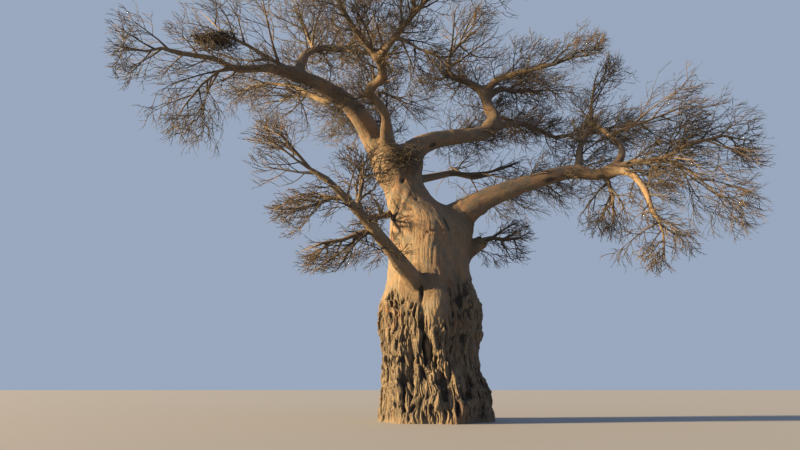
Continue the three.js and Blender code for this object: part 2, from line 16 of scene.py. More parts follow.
import bpy
import numpy as np
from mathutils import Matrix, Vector

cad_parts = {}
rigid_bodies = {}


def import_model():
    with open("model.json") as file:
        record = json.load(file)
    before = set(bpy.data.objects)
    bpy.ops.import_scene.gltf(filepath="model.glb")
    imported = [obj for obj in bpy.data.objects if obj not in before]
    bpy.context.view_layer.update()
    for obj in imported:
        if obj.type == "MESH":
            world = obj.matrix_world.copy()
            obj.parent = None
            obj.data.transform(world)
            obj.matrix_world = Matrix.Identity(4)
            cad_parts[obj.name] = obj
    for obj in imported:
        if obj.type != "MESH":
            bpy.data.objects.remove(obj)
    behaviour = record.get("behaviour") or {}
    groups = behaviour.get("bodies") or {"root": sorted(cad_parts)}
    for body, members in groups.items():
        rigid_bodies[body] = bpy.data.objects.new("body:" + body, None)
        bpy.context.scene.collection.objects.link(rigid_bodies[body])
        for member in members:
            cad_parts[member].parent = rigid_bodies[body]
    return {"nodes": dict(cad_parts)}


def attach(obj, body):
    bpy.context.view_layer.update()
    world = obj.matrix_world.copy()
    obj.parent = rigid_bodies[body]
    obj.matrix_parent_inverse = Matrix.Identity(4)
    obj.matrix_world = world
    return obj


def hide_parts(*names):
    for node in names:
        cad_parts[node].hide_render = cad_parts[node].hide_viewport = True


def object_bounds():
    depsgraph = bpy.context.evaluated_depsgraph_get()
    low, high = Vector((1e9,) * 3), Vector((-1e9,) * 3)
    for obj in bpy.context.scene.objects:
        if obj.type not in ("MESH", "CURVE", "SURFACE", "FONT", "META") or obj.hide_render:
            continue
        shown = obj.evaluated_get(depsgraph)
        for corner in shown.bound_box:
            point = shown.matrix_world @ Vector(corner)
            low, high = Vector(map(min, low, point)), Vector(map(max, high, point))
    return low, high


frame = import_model()
CAD_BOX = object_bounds()
LOG = logging.getLogger("baobab")
Array = np.ndarray
Span = tuple[float, float]
Point = tuple[float, float, float]
Colour = tuple[float, float, float]
RIGHT, AWAY, UP = np.eye(3)
STEEP = 0.9
TINY = 1e-9


# Seeded draws and smooth noise

WORD = 0xFFFFFFFF
SEED_ODD, TWIG_ODD, SLOT_ODD = 0x9E3779B1, 0x85EBCA6B, 0xC2B2AE35
STIRS = ((15, 0x2C1B3C6D), (12, 0x297A2D39))
LAST_STIR = 15


def draw(seed: int, twig: Array, slot: int) -> Array:
    """Draws a number from 0 to 1 for one slot of each twig, the same in any order.

    Args:
        seed: The number of the mass that the twigs belong to.
        twig: The twigs' own numbers.
        slot: Which of a twig's draws is wanted.

    Returns:
        One number for each twig.
    """
    word = np.uint64(WORD)
    key = (np.asarray(twig).astype(np.uint64) + np.uint64(1)) * np.uint64(TWIG_ODD) & word
    h = np.uint64(seed * SEED_ODD & WORD) ^ key ^ np.uint64((slot + 1) * SLOT_ODD & WORD)
    for shift, odd in STIRS:
        h = (h ^ (h >> np.uint64(shift))) * np.uint64(odd) & word
    return (h ^ (h >> np.uint64(LAST_STIR))).astype(float) / 2.0**32


def draw_three(seed: int, twig: Array, slot: int) -> Array:
    """Draws three numbers from -1 to 1 for each twig, from three slots in turn."""
    return np.stack([draw(seed, twig, slot + axis) * 2 - 1 for axis in range(3)], 1)


def ease(x: Array) -> Array:
    """Runs smoothly from 0 to 1 while x does, and stays there outside."""
    t = np.clip(x, 0, 1)
    return t * t * (3 - 2 * t)


def fade(x: Array, span: Span) -> Array:
    """Runs smoothly from 0 at a place to 1 a width further, and backwards where the width is below zero."""
    return ease((x - span[0]) / span[1])


def rounded(gap: Array, size: float) -> Array:
    """What rounds the joint of two surfaces that are a gap apart, up to a gap of its own size."""
    near = np.maximum(size - np.abs(gap), 0) / size
    return near**2 * size / 4


def unit(v: Array) -> Array:
    """Scales each vector to length one."""
    return v / np.maximum(np.linalg.norm(v, axis=-1, keepdims=True), TINY)


@dataclass(frozen=True)
class Noise:
    """Smooth seeded noise in space, from a table of drawn heights."""

    seed: int
    cells: int = 256
    apart: float = 7.31
    cleft: float = 2.2

    def at(self, points: Array, scale: float | Point) -> Array:
        """Noise from -1 to 1 at each point.

        Args:
            points: One point to a row.
            scale: Bumps to a metre, one number or one for each axis.

        Returns:
            One number for each point.
        """
        table = np.random.default_rng(self.seed)
        order = table.permutation(self.cells)
        height = table.uniform(-1, 1, self.cells)
        p = points * np.asarray(scale) + self.seed * self.apart
        cell = np.floor(p).astype(np.int64)
        t = p - cell
        t = t * t * t * (t * (t * 6 - 15) + 10)
        total = np.zeros(len(p))
        for corner in product((0, 1), repeat=3):
            row = 0
            for axis, step in enumerate(corner):
                row = order[(row + cell[:, axis] + step) & (self.cells - 1)]
            wx, wy, wz = (t[:, axis] if step else 1 - t[:, axis] for axis, step in enumerate(corner))
            total += height[row] * wx * wy * wz
        return total

    def strips(self, points: Array, scale: float | Point) -> Array:
        """Rounded strips, about 0 to 1 high, with sharp clefts between them."""
        return np.minimum(np.abs(self.at(points, scale)) * self.cleft, 1)


# Limbs, with the sizes of the part's source


@dataclass(frozen=True)
class Curve:
    """A centripetal spline through a limb's route, read by share of its length."""

    route: tuple[Point, ...]
    parts: int = 200
    nudge: float = 1e-4

    def raw(self, share: Array) -> Array:
        """Points at shares of the spline's own parameter.

        Args:
            share: Numbers from 0 to 1.

        Returns:
            One point for each share.
        """
        pts = np.array(self.route, float)
        pts = np.vstack([2 * pts[0] - pts[1], pts, 2 * pts[-1] - pts[-2]])
        spans = len(self.route) - 1
        spot = np.clip(share, 0, 1) * spans
        i = np.minimum(spot.astype(int), spans - 1)
        t = (spot - i)[:, None]
        p0, p1, p2, p3 = (pts[i + k] for k in range(4))
        pairs = ((p0, p1), (p1, p2), (p2, p3))
        d0, d1, d2 = (np.sqrt(np.linalg.norm(b - a, axis=1))[:, None] for a, b in pairs)
        m1 = ((p1 - p0) / d0 - (p2 - p0) / (d0 + d1) + (p2 - p1) / d1) * d1
        m2 = ((p2 - p1) / d1 - (p3 - p1) / (d1 + d2) + (p3 - p2) / d2) * d1
        square = -3 * p1 + 3 * p2 - 2 * m1 - m2
        return p1 + m1 * t + square * t**2 + (2 * p1 - 2 * p2 + m1 + m2) * t**3

    def steps(self) -> Array:
        """The lengths of the short straight steps that the spline is measured by."""
        return np.linalg.norm(np.diff(self.raw(np.linspace(0, 1, self.parts + 1)), axis=0), axis=1)

    def length(self) -> float:
        """The spline's length."""
        return float(self.steps().sum())

    def inner(self, share: Array) -> Array:
        """Turns shares of the length into shares of the spline's own parameter."""
        run = np.concatenate([[0], np.cumsum(self.steps())])
        return np.interp(np.asarray(share) * run[-1], run, np.linspace(0, 1, self.parts + 1))

    def point(self, share: Array) -> Array:
        """Points at shares of the length."""
        return self.raw(self.inner(np.atleast_1d(share)))

    def heading(self, share: Array) -> Array:
        """Directions at shares of the length."""
        t = self.inner(np.atleast_1d(share))
        return unit(self.raw(np.clip(t + self.nudge, 0, 1)) - self.raw(np.clip(t - self.nudge, 0, 1)))


@dataclass(frozen=True)
class Bough:
    """One tapering limb: radii at its foot, past its swollen collar and at its tip, and its route.

    The collar is the length that the swelling fades over, and the fillet the most that rounds its joint.
    """

    name: str
    thick: Point
    route: tuple[Point, ...]
    collar: float = 0.75
    fillet: float = 0.5

    def curve(self) -> Curve:
        """The bough's middle line."""
        return Curve(self.route)

    def radius(self, share: Array) -> Array:
        """The bough's radius at shares of its length.

        Args:
            share: Numbers from 0 to 1.

        Returns:
            One radius for each share.
        """
        foot, past, tip = self.thick
        swell = np.exp(-np.asarray(share) * self.curve().length() / self.collar)
        return past + (tip - past) * np.asarray(share) + (foot - past) * swell


BOUGHS = (
    Bough("left_bough", (0.95, 0.6, 0.21), ((-1.75, 0, 11.1), (-2.7, -0.3, 12.35), (-3.15, -0.75, 13.0),
          (-3.9, -1.3, 13.75), (-5.1, -2.1, 14.2), (-6.3, -2.7, 14.5))),
    Bough("upper_bough", (0.8, 0.42, 0.34), ((-1.4, 0.1, 11.1), (-0.8, 0.3, 12.05), (0, 0.6, 12.6),
          (1.5, 1.2, 13.1), (2.7, 1.6, 13.5), (3.2, 1.8, 14.0))),
    Bough("centre_bough", (0.34, 0.23, 0.16), ((-1.7, -0.4, 11.3), (-2.1, -1.0, 12.1), (-2.1, -1.8, 12.9),
          (-2.8, -2.8, 13.5), (-2.2, -3.5, 13.8), (-2.35, -4.6, 14.2))),
    Bough("right_bough", (1.15, 0.42, 0.24), ((0.3, 0, 7.6), (1.4, -0.35, 8.85), (2.6, -0.9, 9.45),
          (4.5, -1.5, 9.95), (6.0, -1.8, 10.25), (6.8, -1.9, 10.05), (7.5, -2.0, 10.25)), collar=1.6),
    Bough("low_left_bough", (0.55, 0.39, 0.11), ((-0.3, -1.2, 4.95), (-0.8, -1.75, 5.45), (-1.8, -3.0, 6.5),
          (-2.9, -4.2, 7.65), (-4.1, -5.2, 8.7)), fillet=0.14),
    Bough("rear_left_bough", (0.5, 0.33, 0.13), ((-1.8, 0.4, 11.2), (-2.4, 1.3, 12.7), (-3.5, 2.7, 14.6),
          (-4.9, 4.6, 16.5), (-6.2, 6.2, 17.6))),
    Bough("rear_bough", (0.42, 0.29, 0.13), ((-1.5, 0.5, 11.2), (-1.9, 1.5, 12.8), (-2.2, 3.0, 14.8),
          (-2.7, 4.5, 16.5), (-2.7, 5.5, 17.4))),
    Bough("rear_right_bough", (0.48, 0.33, 0.13), ((-1.2, 0.5, 11.3), (-0.3, 1.5, 12.7), (1.6, 3.0, 13.8),
          (3.1, 4.9, 15.0), (4.2, 6.4, 16.2))),
    Bough("rear_low_bough", (0.55, 0.34, 0.13), ((0.3, 0.5, 8.4), (1.6, 1.6, 9.7), (2.9, 2.7, 10.5),
          (4.9, 4.4, 11.6), (7.2, 6.2, 12.7))),
    Bough("stub_bough", (0.45, 0.33, 0.27), ((0.7, 0.2, 6.5), (1.5, 0.3, 7.15), (2.2, 0.5, 7.7))),
    Bough("left_reach", (0.24, 0.16, 0.09), ((-6.1, -2.55, 14.45), (-7.0, -2.9, 14.5), (-8.5, -3.2, 14.35),
          (-9.1, -3.35, 14.65), (-10.5, -3.8, 14.7))),
    Bough("left_rise", (0.28, 0.18, 0.12), ((-5.9, -2.4, 14.45), (-5.7, -1.9, 15.7), (-5.1, -0.6, 16.8),
          (-4.1, 1.3, 17.8), (-3.1, 3.0, 18.6))),
    Bough("left_under", (0.22, 0.13, 0.08), ((-4.4, -1.5, 13.85), (-4.9, -0.8, 14.0), (-5.7, -0.3, 14.6),
          (-6.5, 0.4, 15.3), (-7.7, 1.2, 15.9))),
    Bough("riser_bough", (0.36, 0.3, 0.24), ((3.0, 1.75, 13.8), (3.25, 1.95, 14.4), (3.0, 2.35, 15.4),
          (2.9, 2.7, 16.3))),
    Bough("shelf_bough", (0.24, 0.17, 0.11), ((3.1, 1.8, 13.9), (4.1, 2.5, 14.3), (5.0, 3.3, 14.65),
          (6.8, 5.2, 14.85))),
    Bough("upper_left", (0.24, 0.19, 0.14), ((2.9, 2.6, 16.1), (2.1, 2.5, 16.6), (1.0, 2.2, 16.9))),
    Bough("upper_right", (0.22, 0.16, 0.1), ((2.9, 2.6, 16.1), (3.5, 2.2, 16.6), (4.3, 1.3, 16.5),
          (5.4, 0.2, 16.3))),
    Bough("upper_fork", (0.22, 0.16, 0.1), ((3.0, 2.5, 15.8), (3.8, 3.2, 16.6), (4.8, 4.4, 17.1),
          (5.9, 5.6, 17.8))),
    Bough("centre_top", (0.18, 0.13, 0.08), ((-2.35, -4.5, 14.1), (-1.8, -5.3, 14.35), (-1.2, -6.2, 14.65),
          (-0.5, -7.2, 14.9))),
    Bough("front_left", (0.16, 0.12, 0.07), ((-2.35, -4.5, 14.15), (-3.0, -5.2, 14.6), (-3.5, -6.0, 15.0),
          (-3.9, -6.9, 15.4))),
    Bough("right_loop", (0.2, 0.15, 0.11), ((6.1, -1.7, 10.2), (6.4, -1.2, 11.1), (6.7, -0.6, 11.9),
          (7.3, 0.3, 12.8), (8.1, 1.3, 13.4))),
    Bough("right_rise", (0.2, 0.16, 0.1), ((7.4, -2.0, 10.15), (7.95, -1.9, 10.85), (8.15, -1.5, 11.5),
          (7.9, -0.5, 12.6), (7.6, 0.5, 13.5))),
    Bough("right_reach", (0.19, 0.14, 0.09), ((7.4, -2.0, 10.2), (8.2, -2.45, 10.4), (9.2, -3.1, 10.35),
          (9.9, -3.7, 10.7))),
    Bough("right_drop", (0.2, 0.16, 0.08), ((7.35, -2.0, 10.1), (7.8, -2.7, 9.95), (8.0, -3.8, 8.9),
          (8.0, -4.5, 7.7))),
)


@dataclass(frozen=True)
class Mark:
    """A scar, hollow or swelling of the trunk's near side, by its place and size in the front view."""

    x: float
    z: float
    wide: float
    tall: float
    lift: float
    lean: float = 0.0
    fade: float = 0.6

    def height(self, p: Array) -> Array:
        """How far the mark lifts the skin.

        Args:
            p: One point to a row.

        Returns:
            One height for each point, which fades out towards the trunk's far side.
        """
        across = (p[:, 0] - self.x - self.lean * (p[:, 2] - self.z)) / self.wide
        near = ease(-p[:, 1] / self.fade)
        return self.lift * np.exp(-(across**2) - ((p[:, 2] - self.z) / self.tall) ** 2) * near


@dataclass(frozen=True)
class TrunkShape:
    """The trunk's height, lean and half width from the flat cut to the fork, and its broad relief."""

    profile: tuple[Point, ...] = (
        (0, 0, 2.3), (0.9, 0, 2.22), (1.7, -0.15, 2.03), (2.6, -0.24, 1.94), (3.7, -0.16, 2.08),
        (4.8, -0.2, 2.06), (5.8, -0.23, 1.83), (7.0, -0.2, 1.75), (8.1, -0.13, 1.74), (8.8, -0.45, 1.42),
        (9.5, -0.98, 1.05), (10.5, -1.37, 0.91), (11.1, -1.52, 1.0), (11.6, -1.56, 1.14),
    )
    parts: int = 200
    # Root lobes: how many, their depth, their height and their turn
    root_lobes: tuple[int, float, float, float] = (7, 0.055, 1.3, 0.35)
    # Broad folds: how many, their depth and their twist to a metre
    folds: tuple[int, float, float] = (5, 0.02, 0.3)
    # Torn wood: where it starts and how softly, where it ends and how softly
    torn: tuple[float, float, float, float] = (0.15, 0.6, 4.6, 0.9)
    # Each set of flutes: how many, their depth, their twist to a metre and their turn
    flutes: tuple[tuple[int, float, float, float], ...] = ((11, 0.17, 0.25, 0.0), (16, 0.08, -0.45, 1.0))
    flute_level: float = 0.36
    # How far the flutes wander, how fast with height and how fast round the trunk
    wander: Point = (0.1, 1.3, 2.0)
    marks: tuple[Mark, ...] = (
        Mark(-0.05, 4.75, 0.42, 0.62, 0.24),
        Mark(1.3, 4.9, 0.26, 0.9, 0.12),
        Mark(0.95, 5.2, 0.16, 1.1, -0.24, -0.06),
        Mark(-1.05, 2.2, 0.16, 1.9, -0.2, 0.03),
        Mark(-0.35, 2.6, 0.42, 0.85, -0.2),
        Mark(-0.1, 3.0, 0.13, 0.6, 0.2, -0.3),
    )
    top_round: float = 0.7

    def rows(self) -> tuple[Array, Array, Array]:
        """The trunk's outline, in rows close enough to read straight lines between.

        Returns:
            Heights, sideways shifts and half widths.
        """
        route = tuple((x, half, z) for z, x, half in self.profile)
        shifts, halves, heights = Curve(route).raw(np.linspace(0, 1, self.parts + 1)).T
        return heights, shifts, halves

    def upright(self, p: Array) -> Array:
        """The same points with the trunk's lean taken out."""
        heights, shifts, _ = self.rows()
        return np.stack([p[:, 0] - np.interp(p[:, 2], heights, shifts), p[:, 1], p[:, 2]], 1)

    def reach(self, turn: Array, z: Array) -> Array:
        """The half width at turns and heights, with lobes, folds, flutes and marks.

        Args:
            turn: Turns round the trunk, from +X towards +Y.
            z: Heights.

        Returns:
            Distances from the trunk's leaning middle to its skin.
        """
        heights, shifts, halves = self.rows()
        half = np.interp(z, heights, halves)
        count, depth, high, start = self.root_lobes
        lobes = (1 - ease(z / high)) * depth * np.cos(count * (turn + start))
        count, depth, twist = self.folds
        folds = depth * np.cos(count * turn + twist * z)
        low, fade_in, top, fade_out = self.torn
        torn = ease((z - low) / fade_in) * (1 - ease((z - top) / fade_out))
        size, rise, twirl = self.wander
        phase = turn + size * np.sin(rise * z + twirl * turn)
        fluted = sum(
            lift * (1 - np.abs(np.sin(crests / 2 * phase + twist * z + first)) - self.flute_level)
            for crests, lift, twist, first in self.flutes
        )
        skin = np.stack([np.interp(z, heights, shifts) + np.cos(turn) * half, np.sin(turn) * half, z], 1)
        return half * (1 + lobes + folds) + torn * fluted + sum(mark.height(skin) for mark in self.marks)

    def distance(self, p: Array) -> Array:
        """How far each point stands outside the trunk's skin.

        Args:
            p: One point to a row.

        Returns:
            Distances, below zero inside.
        """
        x, y, z = self.upright(p).T
        skin = np.hypot(x, y) - self.reach(np.arctan2(y, x), z)
        lid = z - self.rows()[0][-1]
        return np.maximum(skin, lid) + rounded(skin - lid, self.top_round)


# Twig masses and their rule, as in the part's source


class Region(Enum):
    """The part of the crown that a mass of twigs is joined into."""

    LEFT = "crown_left"
    LEFT_TOP = "crown_left_top"
    CENTRE = "crown_centre"
    UPPER = "crown_upper"
    RIGHT = "crown_right"
    RIGHT_LOW = "crown_right_low"
    LOW = "crown_low"
    BACK = "crown_back"
    REAR_LEFT = "crown_rear_left"
    REAR_RIGHT = "crown_rear_right"


@dataclass(frozen=True)
class Mass:
    """Twigs from one stem on a bough, in a space of their own that runs along reach.

    A mass with a start of its own stands on the trunk. Bare is the naked share of its stem.
    """

    name: str
    on: str
    at: float
    reach: Point
    girth: Span
    region: Region
    start: Point | None = None
    bare: float = 0.1


MASSES = (
    Mass("twigs_left_end", "left_reach", 1, (-2.4, -0.9, -0.5), (1.7, 1.3), Region.LEFT),
    Mass("twigs_left_droop", "left_reach", 0.55, (-2.0, -1.1, -3.3), (2.0, 1.5), Region.LEFT),
    Mass("twigs_left_upper", "left_bough", 0.96, (-4.2, -0.8, 2.7), (1.8, 1.5), Region.LEFT),
    Mass("twigs_left_crown", "left_rise", 0.3, (-1.3, 0.2, 3.0), (1.8, 1.7), Region.LEFT_TOP),
    Mass("twigs_left_rise", "left_rise", 1, (2.5, 1.3, 0.9), (1.7, 1.2), Region.LEFT_TOP),
    Mass("twigs_left_under", "left_under", 1, (-2.3, 1.4, 0.1), (1.7, 1.3), Region.LEFT),
    Mass("twigs_middle_crown", "left_rise", 0.68, (2.2, -2.0, 1.6), (1.6, 1.2), Region.LEFT_TOP),
    Mass("twigs_centre_top", "centre_top", 1, (2.4, -2.1, 1.5), (1.9, 1.4), Region.CENTRE),
    Mass("twigs_front_rise", "centre_top", 0.75, (-0.7, -2.8, 2.5), (1.8, 1.4), Region.CENTRE),
    Mass("twigs_front_left", "front_left", 1, (-2.8, -1.8, 1.1), (1.9, 1.4), Region.CENTRE),
    Mass("twigs_centre_side", "centre_top", 0.35, (2.3, 0.8, -0.7), (1.3, 1.1), Region.CENTRE),
    Mass("twigs_upper_left", "upper_left", 1, (2.2, -0.3, 3.1), (1.8, 1.6), Region.UPPER),
    Mass("twigs_upper_back", "upper_left", 0.55, (-1.3, 3.2, 2.2), (1.8, 1.3), Region.UPPER),
    Mass("twigs_upper_right", "upper_right", 1, (2.7, -0.9, 0.5), (1.7, 1.5), Region.UPPER),
    Mass("twigs_upper_fork", "upper_fork", 1, (2.9, 2.4, 0.9), (1.9, 1.3), Region.UPPER),
    Mass("twigs_shelf", "shelf_bough", 1, (2.9, 1.9, 0.6), (1.7, 1.3), Region.BACK),
    Mass("twigs_right_loop", "right_loop", 1, (2.1, 2.7, 1.5), (1.5, 1.2), Region.RIGHT),
    Mass("twigs_right_crest", "right_rise", 1, (0.8, -0.1, 3.3), (1.3, 1.3), Region.RIGHT),
    Mass("twigs_right_high", "right_rise", 0.6, (4.4, -0.7, 1.3), (1.9, 1.3), Region.RIGHT),
    Mass("twigs_right_end", "right_reach", 1, (2.8, -0.2, 0.1), (1.6, 1.3), Region.RIGHT),
    Mass("twigs_right_low", "right_reach", 0.6, (2.9, -1.6, -2.6), (1.6, 1.3), Region.RIGHT_LOW),
    Mass("twigs_right_drop", "right_drop", 1, (0, -0.6, -2.0), (1.3, 1.2), Region.RIGHT_LOW),
    Mass("twigs_right_hang", "right_bough", 0.95, (0.2, -0.3, -2.7), (1.0, 0.9), Region.RIGHT_LOW),
    Mass("twigs_low_end", "low_left_bough", 1, (-2.4, -1.0, 1.8), (1.5, 1.2), Region.LOW),
    Mass("twigs_low_side", "low_left_bough", 0.86, (-2.6, -0.6, -0.7), (1.2, 0.8), Region.LOW),
    Mass("twigs_low_hang", "low_left_bough", 0.58, (-3.0, -0.7, -1.0), (1.1, 0.7), Region.LOW),
    Mass("twigs_low_rise", "low_left_bough", 0.74, (0.1, -0.1, 2.5), (1.1, 1.1), Region.LOW),
    Mass("twigs_back", "trunk", 0, (5.6, 6.0, 2.6), (1.9, 1.3), Region.BACK, (-1.0, 0.5, 10.5), 0.35),
    Mass("twigs_back_left", "trunk", 0, (-1.7, -2.1, -1.8), (0.8, 0.7), Region.LOW, (-1.4, 0.4, 9.6), 0.45),
    Mass("twigs_stub", "stub_bough", 1, (2.3, 0.2, 0), (1.1, 0.8), Region.LOW),
    Mass("twigs_rear_left", "rear_left_bough", 1, (-4.1, 2.9, 0.9), (2.3, 1.5), Region.REAR_LEFT),
    Mass("twigs_rear_side", "rear_left_bough", 0.8, (0.1, 4.6, 1.2), (2.2, 1.5), Region.REAR_LEFT),
    Mass("twigs_rear", "rear_bough", 1, (1.6, 4.3, 1.4), (2.3, 1.5), Region.REAR_LEFT),
    Mass("twigs_rear_right", "rear_right_bough", 1, (2.2, 4.1, 1.3), (2.2, 1.5), Region.REAR_RIGHT),
    Mass("twigs_rear_low", "rear_low_bough", 1, (4.1, 2.7, 1.2), (2.2, 1.6), Region.REAR_RIGHT),
)


@dataclass(frozen=True)
class SideShoots:
    """Slender side twigs along a stretch of a bough, too small to be a mass of their own."""

    on: str
    span: Span
    region: Region
    every: float = 0.36
    length: Span = (1.0, 1.9)
    thick: float = 0.03
    # Their angle to the bough: the least, and how much more it may be
    split: Span = (0.6, 0.5)
    # Their girth: the least share of thick, its growth to a metre, and the most of the bough's radius
    girth: Point = (0.7, 0.3, 0.6)
    outward_at: float = 0.7


SIDE_SHOOTS = (
    SideShoots("left_reach", (0.1, 0.98), Region.LEFT, 0.42),
    SideShoots("left_rise", (0.1, 0.98), Region.LEFT_TOP, 0.27, (1.1, 2.3)),
    SideShoots("left_under", (0.15, 0.98), Region.LEFT, 0.5, (1.1, 2.0)),
    SideShoots("left_bough", (0.66, 0.97), Region.LEFT, 0.36, (1.2, 2.2)),
    SideShoots("riser_bough", (0.2, 0.95), Region.UPPER, 0.26, (1.2, 2.3)),
    SideShoots("shelf_bough", (0.1, 0.98), Region.BACK, 0.26, (1.2, 2.1)),
    SideShoots("upper_left", (0.1, 0.98), Region.UPPER, 0.24, (1.3, 2.4)),
    SideShoots("upper_right", (0.1, 0.98), Region.UPPER, 0.24, (1.2, 2.2)),
    SideShoots("upper_fork", (0.1, 0.98), Region.UPPER, 0.26, (1.2, 2.2)),
    SideShoots("upper_bough", (0.6, 0.97), Region.UPPER, 0.4, (0.9, 1.8)),
    SideShoots("centre_bough", (0.35, 0.97), Region.CENTRE, 0.3, (1.2, 2.2)),
    SideShoots("centre_top", (0.05, 0.98), Region.CENTRE, 0.24, (1.3, 2.3)),
    SideShoots("front_left", (0.05, 0.98), Region.CENTRE, 0.24, (1.2, 2.2)),
    SideShoots("right_loop", (0.15, 0.98), Region.RIGHT, 0.36, (1.2, 2.3)),
    SideShoots("right_rise", (0.3, 0.98), Region.RIGHT, 0.36, (1.2, 2.2)),
    SideShoots("right_reach", (0.1, 0.98), Region.RIGHT_LOW, 0.16, (1.2, 2.3)),
    SideShoots("right_drop", (0.1, 0.98), Region.RIGHT_LOW, 0.3, (0.9, 1.7)),
    SideShoots("right_bough", (0.5, 0.97), Region.RIGHT, 0.42, (0.9, 1.9)),
    SideShoots("low_left_bough", (0.3, 0.98), Region.LOW, 0.4, (1.1, 2.1)),
    SideShoots("stub_bough", (0.5, 0.95), Region.LOW, 0.2, (0.8, 1.5)),
    SideShoots("rear_left_bough", (0.3, 0.98), Region.REAR_LEFT, 0.34, (1.3, 2.5)),
    SideShoots("rear_bough", (0.3, 0.98), Region.REAR_LEFT, 0.34, (1.3, 2.5)),
    SideShoots("rear_right_bough", (0.3, 0.98), Region.REAR_RIGHT, 0.34, (1.3, 2.5)),
    SideShoots("rear_low_bough", (0.3, 0.98), Region.REAR_RIGHT, 0.34, (1.3, 2.5)),
)


@dataclass(frozen=True)
class Tangle:
    """A dense knot of short dry twigs, in a box of half sizes round its middle."""

    middle: Point
    half: Point
    count: int
    length: Span
    region: Region
    radii: Point = (0.014, 0.011, 0.004)
    bend: float = 0.35
    spread: float = 1.4
    # The scale of a twig's place: in the middle, and what is added towards the corners
    drawn_in: Span = (0.35, 0.65)
    lie: Point = (1, 0.7, 0.5)


TANGLES = (
    Tangle((-9.35, -3.1, 15.75), (0.85, 0.5, 0.3), 620, (0.35, 0.8), Region.LEFT),
    Tangle((-1.4, -1.15, 11.15), (0.85, 0.3, 0.55), 230, (0.5, 1.5), Region.CENTRE),
)


@dataclass(frozen=True)
class TwigRule:
    """How a twig bends and carries children.

    Where a field has a number for each level, the first two are the source's own and the others are those of
    its finer twigs.
    """

    # The steps of a twig's path, its places for children, and their angle, turn and flatness round it
    steps: int = 4
    children: tuple[int, ...] = (9, 9, 5, 3)
    split: tuple[Span, ...] = ((0.65, 1.25), (0.65, 1.25), (0.5, 1.0), (0.45, 0.9))
    turn: float = 2.4
    flat: float = 0.8
    # How far each step shakes and drifts outward
    wander: tuple[float, ...] = (0.2, 0.2, 0.22, 0.16)
    outward: tuple[float, ...] = (0.1, 0.1, 0.18, 0.2)
    # A child's length: its share of its parent's, and how much less it is towards the tip
    shorter: tuple[float, ...] = (1.0, 0.62, 0.85, 0.6)
    shorten_along: float = 0.45
    # Its radius: its share of its parent's, how much a twig tapers, and the least
    thinner: float = 0.6
    taper: float = 0.72
    least: tuple[float, ...] = (0.014, 0.015, 0.013, 0.0095)
    # Each try at a place: its share of the full length, and its turn aside
    trials: tuple[Span, ...] = ((1, 0), (0.8, 1.3), (0.7, -1.3), (0.55, 0))
    clearance: float = 0.06
    edge: float = 0.03
    # Where children stand: the naked share of a twig, the last share, and their place within their spacing
    bare: float = 0.15
    last: float = 0.96
    spacing: Span = (0.3, 0.5)
    luck: Span = (0.8, 0.4)
    id_step: int = 16
    turn_slot: int = 31
    # A mass's space: its girths, its half length and its middle as shares of its reach
    spread: float = 1.7
    half: float = 0.58
    middle: float = 0.53
    # Finer twigs: how far they may stray, how their number falls off, and their room past the tree's own box
    source_levels: int = 2
    spray_levels: int = 2
    stray: float = 1.1
    airy: Span = (1.15, 0.75)
    airy_slot: int = 23
    overhang: float = 0.025


@dataclass(frozen=True)
class StemRule:
    """How thick a stem is on what carries it, and how it bends into the reach of its mass."""

    # Its radius: its share of the bough's at a tip and at a side, the most, and that on the trunk
    tip: float = 0.84
    side: float = 0.6
    most: float = 0.12
    on_trunk: float = 0.24
    # Shares of its reach: how far it follows its bough at a tip and at a side, its turn, end and wander
    tip_bend: float = 0.3
    side_bend: float = 0.08
    turn: float = 0.25
    end: float = 0.98
    wander: float = 0.1


RULE = TwigRule()
STEM = StemRule()
CROWN_MIDDLE = np.array([0.0, 0.0, 12.0])


@dataclass
class Twigs:
    """Many twigs of one level: numbers, paths (twig, step, axis), lengths, radii at the root and sprays."""

    ids: Array
    paths: Array
    lengths: Array
    thick: Array
    spray: Array
    level: int

    def kept(self, rows: Array) -> "Twigs":
        """Some of the twigs, by row."""
        arrays = (self.ids, self.paths, self.lengths, self.thick, self.spray)
        return Twigs(*(array[rows] for array in arrays), self.level)


def joined(batches: list[Twigs], level: int) -> Twigs:
    """Joins batches of twigs into one of a level."""
    names = ("ids", "paths", "lengths", "thick", "spray")
    return Twigs(*(np.concatenate([getattr(batch, name) for batch in batches]) for name in names), level)


@dataclass
class Stretches:
    """Straight stretches of limb with a radius, for keeping twigs off them."""

    owners: list[str] = field(default_factory=list)
    starts: list[Array] = field(default_factory=list)
    ends: list[Array] = field(default_factory=list)
    radii: list[float] = field(default_factory=list)
    margin: float = 1.0

    def add(self, owner: str, points: Array, radii: Array) -> None:
        """Adds a limb as stretches between its points.

        Args:
            owner: The limb's name.
            points: Its middle line, one point to a row.
            radii: Its radius at each point.
        """
        self.owners += [owner] * (len(points) - 1)
        self.starts += list(points[:-1])
        self.ends += list(points[1:])
        self.radii += list(np.maximum(radii[:-1], radii[1:]))

    def blocked(self, owner: str, points: Array, thick: Array) -> Array:
        """Tells which points come too near a limb.

        Args:
            owner: The mass that the points belong to, whose own stem is passed over.
            points: One point to a row.
            thick: The radius of the twig at each point.

        Returns:
            True for each point that is blocked.
        """
        low, high = points.min(0) - self.margin, points.max(0) + self.margin
        bad = np.zeros(len(points), bool)
        for name, a, b, radius in zip(self.owners, self.starts, self.ends, self.radii):
            far = (np.maximum(a, b) + radius < low).any() or (np.minimum(a, b) - radius > high).any()
            if name == owner or far:
                continue
            along = b - a
            t = np.clip((points - a) @ along / (along @ along), 0, 1)[:, None]
            gap = np.linalg.norm(points - a - t * along, axis=1)
            bad |= gap <= radius + thick + RULE.clearance
        return bad


